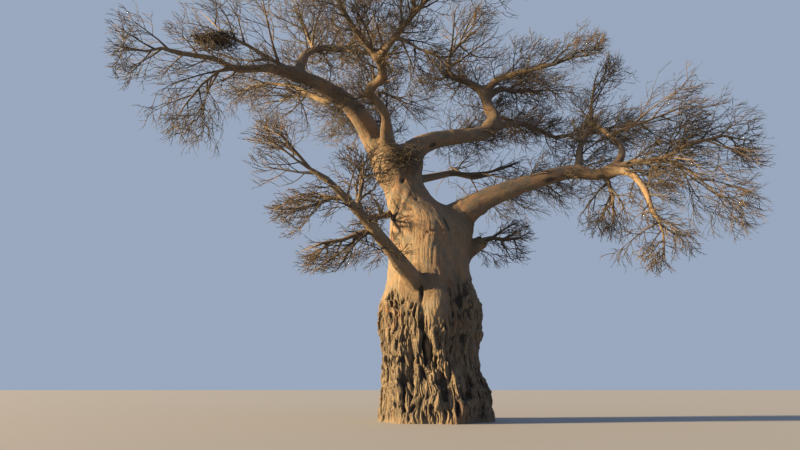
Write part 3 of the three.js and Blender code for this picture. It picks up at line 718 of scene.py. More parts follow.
@dataclass
class Space:
    """The ellipsoid that a mass of twigs keeps to."""

    middle: Array
    axes: Array
    half: Array

    @classmethod
    def along(cls, start: Array, reach: Array, girth: Span) -> "Space":
        """Sets out the space along a reach.

        Args:
            start: Where the mass starts.
            reach: How far it goes from there.
            girth: Its half widths, level and upright.

        Returns:
            The space.
        """
        axis = unit(reach)
        side = unit(np.cross(UP, axis))
        half = np.array([np.linalg.norm(reach) * RULE.half, girth[0] * RULE.spread, girth[1] * RULE.spread])
        return cls(start + reach * RULE.middle, np.stack([axis, side, np.cross(axis, side)]), half)

    def nearness(self, p: Array) -> Array:
        """0 in the middle of the space and 1 at its edge."""
        return np.linalg.norm((p - self.middle) @ self.axes.T / self.half, axis=-1)


@dataclass
class Trial:
    """One try at a place on every parent: the children's starts, headings, lengths and radii."""

    seed: int
    ids: Array
    starts: Array
    headings: Array
    lengths: Array
    thick: Array
    spray: Array
    done: Array
    axis: Array
    level: int = 0

    def paths(self, rows: Array) -> Array:
        """The bending paths of some of the children.

        Args:
            rows: The children's rows.

        Returns:
            Points, as (twig, step, axis).
        """
        heading = self.headings[rows].copy()
        points = [self.starts[rows]]
        for i in range(1, RULE.steps + 1):
            shake = draw_three(self.seed, self.ids[rows], i * 3) * RULE.wander[self.level]
            heading = unit(heading + shake + self.axis * RULE.outward[self.level])
            points.append(points[-1] + heading * (self.lengths[rows] / RULE.steps)[:, None])
        return np.stack(points, 1)

    def grown(self, rows: Array, paths: Array) -> Twigs:
        """Some of the children as twigs, one level finer than what carries them."""
        arrays = (self.lengths[rows], self.thick[rows], self.spray[rows])
        return Twigs(self.ids[rows], paths, *arrays, self.level + 1)


def sprout(
    seed: int, parent: Twigs, place: int, count: int, first: float, axis: Array
) -> Iterator[Trial]:
    """Gives each trial in turn for the child at one place of every parent.

    Args:
        seed: The number of the mass.
        parent: The twigs that carry the children.
        place: Which of the places along a parent, from 0.
        count: How many places a parent has.
        first: The share of a parent that stays bare.
        axis: The direction that the mass reaches in.

    Yields:
        A Trial for each of the rule's trials. They share one record of what is done.
    """
    ids = parent.ids * RULE.id_step + place + 1
    spread = (place + RULE.spacing[0] + RULE.spacing[1] * draw(seed, ids, 0)) / count
    s = first + (RULE.last - first) * spread
    spot = s * RULE.steps
    step = np.minimum(np.floor(spot).astype(int), RULE.steps - 1)
    rows = np.arange(len(ids))
    a, b = parent.paths[rows, step], parent.paths[rows, step + 1]
    along = unit(b - a)
    side = unit(np.cross(UP, along))
    rise = np.cross(along, side)
    turn = place * RULE.turn + draw(seed, parent.ids, RULE.turn_slot) * 2 * math.pi
    least, most = RULE.split[parent.level]
    split = least + (most - least) * draw(seed, ids, 1)
    starts = a + (b - a) * (spot - step)[:, None]
    luck = RULE.luck[0] + RULE.luck[1] * draw(seed, ids, 2)
    full = parent.lengths * RULE.shorter[parent.level] * (1 - RULE.shorten_along * s) * luck
    thick = np.maximum(parent.thick * (1 - RULE.taper * s) * RULE.thinner, RULE.least[parent.level])
    spray = ids if parent.level < RULE.spray_levels else parent.spray
    done = np.zeros(len(ids), bool)
    for share, shift in RULE.trials:
        aside = np.sin(split) * np.cos(turn + shift)
        lifted = np.sin(split) * np.sin(turn + shift) * RULE.flat
        heading = unit(along * np.cos(split)[:, None] + side * aside[:, None] + rise * lifted[:, None])
        yield Trial(seed, ids, starts, heading, full * share, thick, spray, done, axis, parent.level)


def children(
    seed: int, parent: Twigs, bare: float, axis: Array, fits: Callable[[Array, Array, Array], Array]
) -> Twigs:
    """The twigs that one level's twigs carry.

    Args:
        seed: The number of the mass.
        parent: The twigs that carry them.
        bare: The naked share of a stem.
        axis: The direction that the twigs drift in.
        fits: Tells which paths have room, from the paths, their radii and the twigs' numbers.

    Returns:
        The children that found room.
    """
    count = RULE.children[parent.level]
    found = [parent.kept(np.zeros(0, int))]
    for place in range(count):
        for trial in sprout(seed, parent, place, count, RULE.bare if parent.level else bare, axis):
            todo = np.flatnonzero(~trial.done)
            if not len(todo):
                break
            paths = trial.paths(todo)
            good = fits(paths, trial.thick[todo], trial.ids[todo])
            trial.done[todo[good]] = True
            found.append(trial.grown(todo[good], paths[good]))
    return joined(found, parent.level + 1)


@dataclass
class Grower:
    """Grows the twigs of every mass by the source's rule, clear of the limbs and of the other masses."""

    trunk_step: int = 8
    limb_parts: int = 12
    boughs: dict[str, Bough] = field(default_factory=lambda: {bough.name: bough for bough in BOUGHS})
    limbs: Stretches = field(default_factory=Stretches)
    spaces: dict[str, Space] = field(default_factory=dict)
    stems: dict[str, Twigs] = field(default_factory=dict)

    def __post_init__(self) -> None:
        """Sets out the limbs to keep clear of, and the stem and the space of each mass."""
        heights, shifts, halves = (row[:: self.trunk_step] for row in TrunkShape().rows())
        self.limbs.add("trunk", np.stack([shifts, 0 * shifts, heights], 1), halves)
        shares = np.linspace(0, 1, self.limb_parts + 1)
        for bough in BOUGHS:
            self.limbs.add(bough.name, bough.curve().point(shares), bough.radius(shares))
        for seed, mass in enumerate(MASSES, 1):
            self._prepare(mass, seed)

    def _prepare(self, mass: Mass, seed: int) -> None:
        """Makes the stem and the space of one mass.

        Args:
            mass: The mass.
            seed: Its number in the source's order, from 1.
        """
        along = np.array(mass.reach, float)
        at_tip = mass.at == 1
        if mass.start is None:
            bough = self.boughs[mass.on]
            start, heading = bough.curve().point(mass.at)[0], bough.curve().heading(mass.at)[0]
            thick = min(float(bough.radius(mass.at)) * (STEM.tip if at_tip else STEM.side), STEM.most)
        else:
            start, heading, thick = np.array(mass.start), unit(along), STEM.on_trunk
        self.spaces[mass.name] = Space.along(start, along, mass.girth)
        length = float(np.linalg.norm(along))
        knee = start + heading * (STEM.tip_bend if at_tip else STEM.side_bend) * length + along * STEM.turn
        t = np.linspace(0, 1, RULE.steps + 1)[:, None]
        path = (1 - t) ** 2 * start + 2 * (1 - t) * t * knee + t**2 * (start + along * STEM.end)
        stem = np.zeros(1, int)
        for i in range(1, RULE.steps):
            path[i] += draw_three(seed, stem, i * 3)[0] / 2 * STEM.wander * length
        self.stems[mass.name] = Twigs(stem, path[None], np.array([length]), np.array([thick]), stem, 0)
        self.limbs.add(mass.name, path, np.full(len(path), thick))

    def grow(self, mass: Mass, seed: int) -> list[Twigs]:
        """All twigs of one mass, level by level.

        Args:
            mass: The mass to grow.
            seed: Its number in the source's order, from 1.

        Returns:
            One batch of twigs for each level, the stem first.
        """
        levels = [self.stems[mass.name]]
        axis = self.spaces[mass.name].axes[0]
        for level in range(len(RULE.children)):
            coarse = level < RULE.source_levels
            fits = partial(self._fits, mass) if coarse else partial(self._airy, mass, seed)
            levels.append(children(seed, levels[-1], mass.bare, axis, fits))
        return levels

    def side_shoots(self, shoots: SideShoots, seed: int) -> list[Twigs]:
        """Side shoots along a bough with their own finer twigs.

        Args:
            shoots: Where they grow.
            seed: A number of their own.

        Returns:
            One batch of twigs for each level, from the first twigs on.
        """
        bough = self.boughs[shoots.on]
        curve = bough.curve()
        (low, high), (least, more), (short, long) = shoots.span, shoots.split, shoots.length
        ids = np.arange(max(2, round((high - low) * curve.length() / shoots.every)))
        at = low + (high - low) * (ids + draw(seed, ids, 0)) / len(ids)
        along, axis = curve.heading(at), unit(curve.point(shoots.outward_at)[0] - CROWN_MIDDLE)
        side = unit(np.cross(UP, along))
        rise = np.cross(along, side)
        turn = ids * RULE.turn + draw(seed, ids, 5)
        split = least + more * draw(seed, ids, 1)
        aside = side * np.cos(turn)[:, None] + rise * np.sin(turn)[:, None]
        heading = unit(along * np.cos(split)[:, None] + aside * np.sin(split)[:, None])
        sizes = short + (long - short) * draw(seed, ids, 2)
        slim, growth, most = shoots.girth
        thick = np.minimum(shoots.thick * (slim + growth * sizes), bough.radius(at) * most)
        trial = Trial(seed, ids, curve.point(at), heading, sizes, thick, ids, ids < 0, axis)
        paths = trial.paths(ids)
        good = np.flatnonzero(self._clear(paths, thick, ids, shoots.on))
        levels = [trial.grown(good, paths[good])]
        for _ in RULE.children[1:]:
            levels.append(children(seed, levels[-1], RULE.bare, axis, self._clear))
        return levels

    @staticmethod
    def _outside(points: Array) -> Array:
        """Tells which points lie too far outside the tree's own box.

        Args:
            points: One point to a row.

        Returns:
            True for each point outside.
        """
        low, high = np.array(CAD_BOX)
        room = RULE.overhang * (high - low)
        return ((points < low - room) | (points > high + room)).any(1)

    def _clear(self, paths: Array, thick: Array, _: Array, owner: str = "") -> Array:
        """Tells which fine twigs keep off all limbs but their owner, and near the tree's own box.

        Args:
            paths: The twigs' paths.
            thick: Their radii.
            _: Their numbers, which make no difference here.
            owner: The limb that they may touch.

        Returns:
            True for each twig that has room.
        """
        points = paths[:, 1:].reshape(-1, 3)
        bad = self._outside(points) | self.limbs.blocked(owner, points, np.repeat(thick, RULE.steps))
        return ~bad.reshape(len(paths), -1).any(1)

    def _airy(self, mass: Mass, seed: int, paths: Array, thick: Array, ids: Array) -> Array:
        """Tells which fine twigs keep off the limbs, ever fewer towards the edge of their mass's space.

        Args:
            mass: Their mass.
            seed: Its number.
            paths: The twigs' paths.
            thick: Their radii.
            ids: Their numbers.

        Returns:
            True for each twig that has room and luck.
        """
        own = self.spaces[mass.name].nearness(paths[:, -1])
        chance = RULE.airy[0] - RULE.airy[1] * own**2
        lucky = (own < RULE.stray) & (draw(seed, ids, RULE.airy_slot) < chance)
        return lucky & self._clear(paths, thick, ids)

    def _fits(self, mass: Mass, paths: Array, thick: Array, ids: Array) -> Array:
        """Tells which twigs stay in their mass's own space and off the limbs.

        Args:
            mass: Their mass.
            paths: The twigs' paths.
            thick: Their radii.
            ids: Their numbers.

        Returns:
            True for each twig that has room.
        """
        points = paths[:, 1:].reshape(-1, 3)
        own = self.spaces[mass.name].nearness(points)
        good = own <= 1
        for name, space in self.spaces.items():
            if name != mass.name:
                good &= space.nearness(points) >= own + RULE.edge
        return good.reshape(len(paths), -1).all(1) & self._clear(paths, thick, ids, mass.name)


# Meshes from arrays


def rings(middles: Array, sides: Array, others: Array, radii: Array, turn: Array) -> Array:
    """Rings of points, as (ring, point, axis), in the plane of a side and another at each middle."""
    spokes = sides[:, None] * np.cos(turn)[:, None] + others[:, None] * np.sin(turn)[:, None]
    return middles[:, None] + spokes * radii.reshape(len(middles), -1, 1)


@dataclass
class Soup:
    """Triangles gathered from many tubes, with a finish for each."""

    points: list[Array] = field(default_factory=list)
    faces: list[Array] = field(default_factory=list)
    finishes: list[Array] = field(default_factory=list)
    size: int = 0

    def add(self, points: Array, faces: Array, finishes: Array) -> None:
        """Adds a batch of triangles.

        Args:
            points: One point to a row.
            faces: Triangles on them.
            finishes: The finish of each triangle.
        """
        self.points.append(points)
        self.faces.append(faces + self.size)
        self.finishes.append(finishes)
        self.size += len(points)

    def tubes(self, paths: Array, radii: Array, sides: int, finish: Array) -> None:
        """Adds tubes that end in a point.

        Args:
            paths: Middle lines, as (tube, ring, axis). The last ring is the point.
            radii: Radii, as (tube, ring).
            sides: Sides of each tube.
            finish: The finish of each tube.
        """
        count, last = len(paths), paths.shape[1] - 1
        if not count:
            return
        turn = np.arange(sides) / sides * 2 * math.pi
        tangent = unit(paths[:, 1] - paths[:, 0])
        side = unit(np.cross(tangent, np.where(np.abs(tangent[:, 2:]) > STEEP, RIGHT, UP)))
        skin = []
        for i in range(last):
            tangent = unit(paths[:, i + 1] - paths[:, max(i - 1, 0)])
            side = unit(side - tangent * (side * tangent).sum(1, keepdims=True))
            skin.append(rings(paths[:, i], side, np.cross(tangent, side), radii[:, i], turn))
        points = np.concatenate([*skin, paths[:, -1, None]], 1)
        each = points.shape[1]
        faces = []
        for a, k in product(range(0, (last - 1) * sides, sides), range(sides)):
            b = a + (k + 1) % sides
            faces += [(a + k, b, b + sides), (a + k, b + sides, a + k + sides)]
        tip = (last - 1) * sides
        faces += [(tip + k, tip + (k + 1) % sides, each - 1) for k in range(sides)]
        every = (np.arange(count)[:, None, None] * each + np.array(faces)).reshape(-1, 3)
        self.add(points.reshape(-1, 3), every, np.repeat(finish, len(faces)))

    def closed(self, tube: Array) -> None:
        """Adds a closed tube through rings of points, with flat ends.

        Args:
            tube: Points, as (ring, point, axis).
        """
        count, sides = tube.shape[:2]
        r, k = np.meshgrid(np.arange(count - 1), np.arange(sides), indexing="ij")
        a, b = (r * sides + k).ravel(), (r * sides + (k + 1) % sides).ravel()
        fan = np.arange(1, sides - 1)
        top = (count - 1) * sides
        corners = (
            (a, b, b + sides), (a, b + sides, a + sides),
            (0 * fan, fan + 1, fan), (0 * fan + top, top + fan, top + fan + 1),
        )
        faces = np.concatenate([np.stack(three, 1) for three in corners])
        self.add(tube.reshape(-1, 3), faces, np.zeros(len(faces), int))

    def build(self, name: str, materials: list[bpy.types.Material]) -> bpy.types.Object:
        """Makes one smooth mesh object of all that was gathered.

        Args:
            name: The object's name.
            materials: The finishes, in the order of their numbers.

        Returns:
            The object.
        """
        piece = mesh_object(name, np.concatenate(self.points), np.concatenate(self.faces))
        for material in materials:
            piece.data.materials.append(material)
        piece.data.polygons.foreach_set("material_index", np.concatenate(self.finishes).astype(np.int32))
        return piece


def mesh_object(name: str, points: Array, faces: Array) -> bpy.types.Object:
    """Makes a smooth mesh object from points and faces of equal count.

    Args:
        name: The object's name.
        points: One point to a row.
        faces: Corner numbers, one face to a row.

    Returns:
        The object, linked to the scene.
    """
    mesh = bpy.data.meshes.new(name)
    mesh.vertices.add(len(points))
    mesh.vertices.foreach_set("co", points.astype(np.float32).ravel())
    mesh.loops.add(faces.size)
    mesh.loops.foreach_set("vertex_index", faces.astype(np.int32).ravel())
    mesh.polygons.add(len(faces))
    mesh.polygons.foreach_set("loop_start", np.arange(len(faces), dtype=np.int32) * faces.shape[1])
    mesh.update(calc_edges=True)
    mesh.polygons.foreach_set("use_smooth", np.ones(len(faces), bool))
    piece = bpy.data.objects.new(name, mesh)
    bpy.context.scene.collection.objects.link(piece)
    return piece


# Marks in the front view that are too fine for the solids: torn ridges and holes at the foot, slits on the
# lit flank, and the scars, holes, fold and creases of the smooth trunk
MARKS = (
    Mark(0.02, 2.45, 0.08, 0.3, 0.08, 0.35),
    Mark(-0.28, 4.3, 0.16, 0.3, 0.08),
    Mark(0.62, 4.9, 0.08, 0.9, -0.08, -0.05),
    Mark(0.95, 5.2, 0.08, 1.0, -0.08, -0.06),
    Mark(0.5, 2.0, 0.1, 0.9, -0.08, 0.06),
    Mark(0.9, 1.6, 0.12, 0.8, 0.08, 0.2),
    Mark(1.25, 1.1, 0.16, 0.5, -0.08, 0.1),
    Mark(-0.55, 1.75, 0.16, 0.3, -0.14),
    Mark(-1.15, 5.35, 0.05, 0.13, -0.1, -0.5),
    Mark(-0.98, 5.3, 0.05, 0.16, -0.1, 0.4),
    Mark(-0.68, 5.2, 0.05, 0.09, -0.09),
    Mark(-1.35, 4.7, 0.05, 0.16, -0.09, 0.5),
    Mark(-1.0, 4.5, 0.04, 0.2, -0.09, 0.6),
    Mark(-0.3, 7.6, 0.05, 0.05, -0.08),
    Mark(-0.05, 7.65, 0.12, 0.035, -0.06),
    Mark(0.35, 7.68, 0.14, 0.03, -0.05),
    Mark(-0.75, 9.2, 0.07, 0.08, -0.08),
    Mark(-1.0, 8.7, 0.2, 0.035, -0.06),
    Mark(-1.35, 10.15, 0.08, 0.13, -0.13),
    Mark(-1.42, 8.65, 0.1, 0.75, 0.1, 0.36),
    Mark(-1.66, 8.75, 0.14, 0.75, -0.13, 0.33),
    Mark(-1.95, 8.9, 0.07, 0.8, 0.05, 0.3),
    Mark(0.5, 8.05, 0.14, 0.75, -0.085, -0.37),
    Mark(0.28, 8.0, 0.14, 0.7, 0.07, -0.37),
    Mark(-0.6, 5.3, 0.07, 0.6, -0.16),
    Mark(-0.98, 5.55, 0.06, 0.5, -0.1, -0.75),
)


# Relief of the bark


@dataclass(frozen=True)
class Layer:
    """One layer of relief: its noise, bumps to a metre and height, and what is cut off below it."""

    noise: Noise
    scale: float | Point
    height: float
    strips: bool = False
    above: float | None = None
    shift: float = 0.0

    def lift(self, place: Array) -> Array:
        """How far the layer lifts the skin.

        Args:
            place: One place to a row.

        Returns:
            One height for each place.
        """
        read = self.noise.strips if self.strips else self.noise.at
        value = read(place + self.shift, self.scale)
        if self.above is not None:
            value = np.maximum(value - self.above, 0)
        return value * self.height


def stacked(layers: tuple[Layer, ...], place: Array) -> Array:
    """The height of several layers together."""
    return sum(layer.lift(place) for layer in layers)


@dataclass(frozen=True)
class Sway:
    """Sideways shifts that bend an upright pattern: their noise, bumps to a metre and reach."""

    noise: Noise
    scale: float
    far: float
    apart: float = 5.0

    def at(self, place: Array) -> Array:
        """The shift at each place."""
        shifts = (self.noise.at(place + apart, self.scale) for apart in (0, self.apart))
        return np.stack([*shifts, 0 * place[:, 2]], 1) * self.far


@dataclass(frozen=True)
class BoughBark:
    """Lumps, long swellings, grain, knobs and dents of a bough, in keeping with its thickness."""

    # Each layer with the power of the thickness that it grows by
    layers: tuple[tuple[Layer, float], ...] = (
        (Layer(Noise(11), (1.1, 1.7, 1.7), 0.09), 1),
        (Layer(Noise(11), (0.7, 4.5, 4.5), 0.035), 0.5),
        (Layer(Noise(12), (3.0, 7.0, 7.0), 0.008), 0),
        (Layer(Noise(12), (1.7, 2.1, 2.1), 0.22, above=0.52), 0.5),
        (Layer(Noise(11), (1.5, 2.3, 2.3), -0.16, above=0.55, shift=9.1), 0.5),
    )
    thickness: Span = (0.08, 0.6)

    def lift(self, place: Array, thick: Array) -> Array:
        """How far the bark lifts the skin at places along and across a bough of these radii."""
        size = np.clip(thick, *self.thickness)
        return sum(layer.lift(place) * size**power for layer, power in self.layers)


@dataclass(frozen=True)
class TrunkBark:
    """Torn, stringy wood at the foot with a smooth belly, warts on its right flank and wrinkled skin above.

    A span is where a change starts and the width that it takes, below zero where it runs the other way.
    """

    # The torn wood: what moves its edge, where it ends, and its share and rise at the ground
    edge: tuple[Layer, ...] = (Layer(Noise(21), 0.9, 0.8), Layer(Noise(22), (2.2, 2.2, 0.8), 0.5))
    torn_top: Span = (4.7, 0.9)
    torn_foot: Span = (0.5, 0.4)
    # Its pattern: how it drifts and frays, its ropes, fibres and holes, and how deep it lies
    drift: Sway = Sway(Noise(21), 1.1, 0.16)
    fray: Sway = Sway(Noise(23), 3.1, 0.05)
    ropes: Layer = Layer(Noise(22), (2.6, 2.6, 0.34), 0.04, strips=True)
    fibres: tuple[Layer, ...] = (
        Layer(Noise(23), (6.4, 6.4, 0.75), 0.08, strips=True),
        Layer(Noise(21), (12.5, 12.5, 1.9), 0.055, strips=True),
        Layer(Noise(22), (9, 9, 4), 0.022),
        Layer(Noise(23), (6.2, 6.2, 2.2), -0.32, above=0.3, shift=3),
    )
    wood_depth: float = 0.11
    # The warts: their layers and depth, how much of the wood's pattern they keep, and where they stand
    warts: tuple[Layer, ...] = (
        Layer(Noise(22), (3.0, 3.0, 2.4), 0.12, strips=True),
        Layer(Noise(23), (6.5, 6.5, 5.0), 0.04, strips=True),
    )
    warts_depth: float = 0.08
    warts_wood: float = 0.35
    warts_side: Span = (0.7, 0.5)
    warts_foot: Span = (3.2, 0.6)
    warts_top: Span = (6.0, 0.8)
    # The skin: its layers, their depth and its marks
    skin: tuple[Layer, ...] = (
        Layer(Noise(21), (0.8, 0.8, 0.4), 0.05),
        Layer(Noise(22), (3.0, 3.0, 0.5), 0.02),
        Layer(Noise(23), (8.0, 8.0, 0.9), 0.022, strips=True),
        Layer(Noise(22), (1.0, 1.0, 5.0), 0.01),
    )
    skin_depth: float = 0.01
    marks: tuple[Mark, ...] = MARKS
    # The belly and how calm it is, how deep a cleft or a scar must sink to get painted shade, and how level
    # skin still has relief
    belly: Mark = Mark(-0.05, 4.65, 0.5, 0.75, 1.6)
    belly_calm: float = 0.95
    cleft: Span = (0.005, -0.06)
    scar: Span = (-0.03, -0.05)
    level: float = 1.2

    def read(self, points: Array, own: Array, normals: Array) -> tuple[Array, Array, Array]:
        """The relief at each point.

        Args:
            points: The skin's points.
            own: The same with the trunk's lean taken out.
            normals: The skin's outward directions.

        Returns:
            Lift along the normal, and tornness and painted shade in clefts and scars, both from 0 to 1.
        """
        x, _, z = points.T
        edge = z + stacked(self.edge, own)
        bare = self.torn_foot[0]
        torn = (1 - fade(edge, self.torn_top)) * (bare + (1 - bare) * ease(z / self.torn_foot[1]))
        torn = torn * (1 - self.belly_calm * ease(self.belly.height(points)))
        swirl = own + self.drift.at(own)
        wood = self.ropes.lift(swirl) + stacked(self.fibres, swirl + self.fray.at(own)) - self.wood_depth
        warts = fade(x, self.warts_side) * fade(z, self.warts_foot) * (1 - fade(edge, self.warts_top))
        lumps = stacked(self.warts, own) - self.warts_depth
        wood = wood * (1 - warts) + (self.warts_wood * wood + lumps) * warts
        torn = np.maximum(torn, warts)
        marks = sum(mark.height(points) for mark in self.marks)
        lift = torn * wood + (1 - torn) * (stacked(self.skin, own) - self.skin_depth) + marks
        # Painted shade darkens the clefts of the torn wood and the sunken marks
        hollow = torn * fade(wood, self.cleft) + fade(marks, self.scar)
        return lift * ease(self.level - np.abs(normals[:, 2])), torn, np.clip(hollow, 0, 1)


# Bark


@dataclass
class LimbField:
    """A bough as a chain of round cones, with a frame that turns as little as possible along it."""

    points: Array
    radii: Array
    sides: Array
    others: Array
    run: Array
    fillet: float

    @classmethod
    def of(cls, bough: Bough, count: int = 24, fillet_share: float = 0.9) -> "LimbField":
        """Sets out a bough's chain.

        Args:
            bough: The limb.
            count: How many cones it has.
            fillet_share: The most that its fillet may be, as a share of its radius at the foot.

        Returns:
            The chain.
        """
        shares = np.linspace(0, 1, count + 1)
        points, radii = bough.curve().point(shares), bough.radius(shares)
        tangents = bough.curve().heading(shares)
        side = unit(np.cross(tangents[0], UP if abs(tangents[0][2]) < STEEP else RIGHT))
        sides = []
        for tangent in tangents:
            side = unit(side - tangent * (side @ tangent))
            sides.append(side)
        run = np.concatenate([[0], np.cumsum(np.linalg.norm(np.diff(points, axis=0), axis=1))])
        fillet = min(fillet_share * radii[0], bough.fillet)
        return cls(points, radii, np.array(sides), np.cross(tangents, sides), run, fillet)

    def near(self, p: Array, margin: float) -> Array:
        """Rows of the points within a margin of the bough's box."""
        far = self.radii[0] + margin
        return np.flatnonzero(((p > self.points.min(0) - far) & (p < self.points.max(0) + far)).all(1))

    def read(self, p: Array) -> tuple[Array, Array]:
        """Distances to the bough's skin and places along and across it.

        Args:
            p: One point to a row.

        Returns:
            Distances, and (along, side, other) places in metres.
        """
        best = np.full(len(p), np.inf)
        place = np.zeros((len(p), 3))
        for i in range(len(self.points) - 1):
            start, radius, side, other, run = (
                (row[i], row[i + 1] - row[i])
                for row in (self.points, self.radii, self.sides, self.others, self.run)
            )
            t = np.clip((p - start[0]) @ start[1] / (start[1] @ start[1]), 0, 1)
            off = p - start[0] - t[:, None] * start[1]
            gap = np.linalg.norm(off, axis=1) - radius[0] - t * radius[1]
            rows = np.flatnonzero(gap < best)
            best[rows] = gap[rows]
            place[rows, 0] = run[0] + t[rows] * run[1]
            for axis, (first, change) in enumerate((side, other), 1):
                place[rows, axis] = (off[rows] * (first + t[rows, None] * change)).sum(1)
        return best, place


@dataclass
class BarkSkin:
    """The bark of the trunk and all boughs: one skin with fillets at the forks and carved relief."""

    trunk: TrunkShape = field(default_factory=TrunkShape)
    limbs: list[LimbField] = field(default_factory=lambda: [LimbField.of(bough) for bough in BOUGHS])
    trunk_bark: TrunkBark = field(default_factory=TrunkBark)
    bough_bark: BoughBark = field(default_factory=BoughBark)
    voxel: float = 0.045
    sink: float = 0.5
    trunk_rings: int = 60
    trunk_sides: int = 64
    bough_sides: int = 16
    fine_below: float = 5.4
    # How far round a bough's box its skin is read, and the distance that stands for all beyond
    margin: float = 0.6
    beyond: float = 9.0
    # Settling: how often, the step that reads the slope, the furthest move, the least slope squared, and what
    # counts as the ground before it and after it
    settlings: int = 2
    probe: float = 0.01
    most: float = 0.15
    least_slope: float = 0.25
    ground: Span = (1e-6, 1e-4)
    # Where limbs meet: the distance that their reliefs blend over, the least share that counts, and the
    # trunk's share over which torn wood begins
    blend: float = 0.1
    least_share: float = 0.02
    torn_share: Span = (0.0, 0.5)
    limb_shift: float = 3.7
    # Where a dent in a bough's bark starts to get painted shade, and how much deeper it is fully shaded
    hollow: Span = (-0.0005, -0.05)
    # The heights that part the trunk's pieces, and how far its bark runs out on the boughs
    trunk_splits: Span = (2.2, 4.6)
    run_out: float = 0.05
    names: tuple[str, ...] = (
        "bark_trunk_foot", "bark_trunk_belly", "bark_trunk", "bark_left_boughs", "bark_boughs",
    )

    def build(self, bark: bpy.types.Material) -> list[bpy.types.Object]:
        """Makes the bark in pieces, each standing for the CAD nodes that it covers.

        Args:
            bark: The finish.

        Returns:
            The trunk's foot, its belly, its upper part, and the boughs left and right of its middle.
        """
        points, faces = self._wrap()
        for _ in range(self.settlings):
            points = self._settle(points)
        faces, points, seams = split_fours(points, faces, points[faces][:, :, 2].max(1) < self.fine_below)
        points = self._settle(points)
        normals = vertex_normals(points, faces)
        lift, hollow, torn, flow = self._relief(points, normals)
        moved = points + normals * lift[:, None]
        moved[:, 2] = np.where(points[:, 2] < self.ground[1], 0, np.maximum(moved[:, 2], 0))
        moved[seams[:, 0]] = (moved[seams[:, 1]] + moved[seams[:, 2]]) / 2
        normals = vertex_normals(moved, faces)
        middle = moved[faces].mean(1)
        on_trunk = self.trunk.distance(middle) < self._bough_gap(middle) + self.run_out
        level, side = np.searchsorted(self.trunk_splits, middle[:, 2]), middle[:, 0] > 0
        owner = np.where(on_trunk, level, len(self.trunk_splits) + 1 + side)
        pieces = []
        for part, name in enumerate(self.names):
            used, corners = np.unique(faces[owner == part], return_inverse=True)
            piece = mesh_object(name, moved[used], corners.reshape(-1, 4))
            piece.data.normals_split_custom_set_from_vertices(normals[used].astype(np.float32))
            # The first value carried is painted shade in clefts, scars and dents
            for key, kind, slot, values in (
                ("hollow", "FLOAT", "value", hollow),
                ("torn", "FLOAT", "value", torn),
                ("grain", "FLOAT_VECTOR", "vector", flow),
            ):
                layer = piece.data.attributes.new(key, kind, "POINT")
                layer.data.foreach_set(slot, values[used].astype(np.float32).ravel())
            piece.data.materials.append(bark)
            pieces.append(piece)
        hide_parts("trunk")
        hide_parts(*(bough.name for bough in BOUGHS))
        return pieces

    def _wrap(self) -> tuple[Array, Array]:
        """Wraps plain closed tubes of all limbs in one skin, cut flat at the ground.

        Returns:
            Points and four-sided faces.
        """
        soup = Soup()
        turn = np.arange(self.trunk_sides) / self.trunk_sides * 2 * math.pi
        heights, shifts, _ = self.trunk.rows()
        levels = np.linspace(-self.sink, heights[-1], self.trunk_rings)
        reach = self.trunk.reach(np.tile(turn, len(levels)), np.repeat(levels, len(turn)))
        middles = np.stack([np.interp(levels, heights, shifts), 0 * levels, levels], 1)
        soup.closed(rings(middles, RIGHT[None], AWAY[None], reach.reshape(len(levels), -1), turn))
        turn = np.arange(self.bough_sides) / self.bough_sides * 2 * math.pi
        for limb in self.limbs:
            soup.closed(rings(limb.points, limb.sides, limb.others, limb.radii, turn))
        block = mesh_object("wrap", np.concatenate(soup.points), np.concatenate(soup.faces))
        remesh = block.modifiers.new("wrap", "REMESH")
        remesh.mode, remesh.voxel_size = "VOXEL", self.voxel
        mesh = bpy.data.meshes.new_from_object(block.evaluated_get(bpy.context.evaluated_depsgraph_get()))
        points = np.zeros(len(mesh.vertices) * 3, np.float32)
        mesh.vertices.foreach_get("co", points)
        corners = np.zeros(len(mesh.loops), np.int32)
        mesh.loops.foreach_get("vertex_index", corners)
        bpy.data.objects.remove(block)
        bpy.data.meshes.remove(mesh)
        points, faces = points.reshape(-1, 3).astype(float), corners.reshape(-1, 4)
        used, faces = np.unique(faces[(points[faces][:, :, 2] > 0).any(1)], return_inverse=True)
        points = points[used]
        points[:, 2] = np.maximum(points[:, 2], 0)
        return points, faces.reshape(-1, 4)

    def _union(self, p: Array) -> Array:
        """Distance to the limbs' common skin, with fillets where they meet.

        Args:
            p: One point to a row.

        Returns:
            Distances, below zero inside.
        """
        total = self.trunk.distance(p)
        for limb in self.limbs:
            rows = limb.near(p, self.margin)
            gap, _ = limb.read(p[rows])
            total[rows] = np.minimum(gap, total[rows]) - rounded(gap - total[rows], limb.fillet)
        return total

    def _settle(self, points: Array) -> Array:
        """Moves points onto the common skin, along its own slope.

        Args:
            points: One point to a row.

        Returns:
            The moved points. Those at the ground stay there.
        """
        here = self._union(points)
        ahead = (self._union(points + self.probe * axis) for axis in np.eye(3))
        slope = np.stack([(there - here) / self.probe for there in ahead], 1)
        steep = np.maximum((slope**2).sum(1), self.least_slope)
        moved = points - slope * (np.clip(here, -self.most, self.most) / steep)[:, None]
        moved[points[:, 2] <= self.ground[0], 2] = 0
        return moved

    def _bough_gap(self, p: Array) -> Array:
        """Distance to the nearest bough's skin.

        Args:
            p: One point to a row.

        Returns:
            One distance for each point.
        """
        best = np.full(len(p), self.beyond)
        for limb in self.limbs:
            rows = limb.near(p, self.margin)
            best[rows] = np.minimum(best[rows], limb.read(p[rows])[0])
        return best

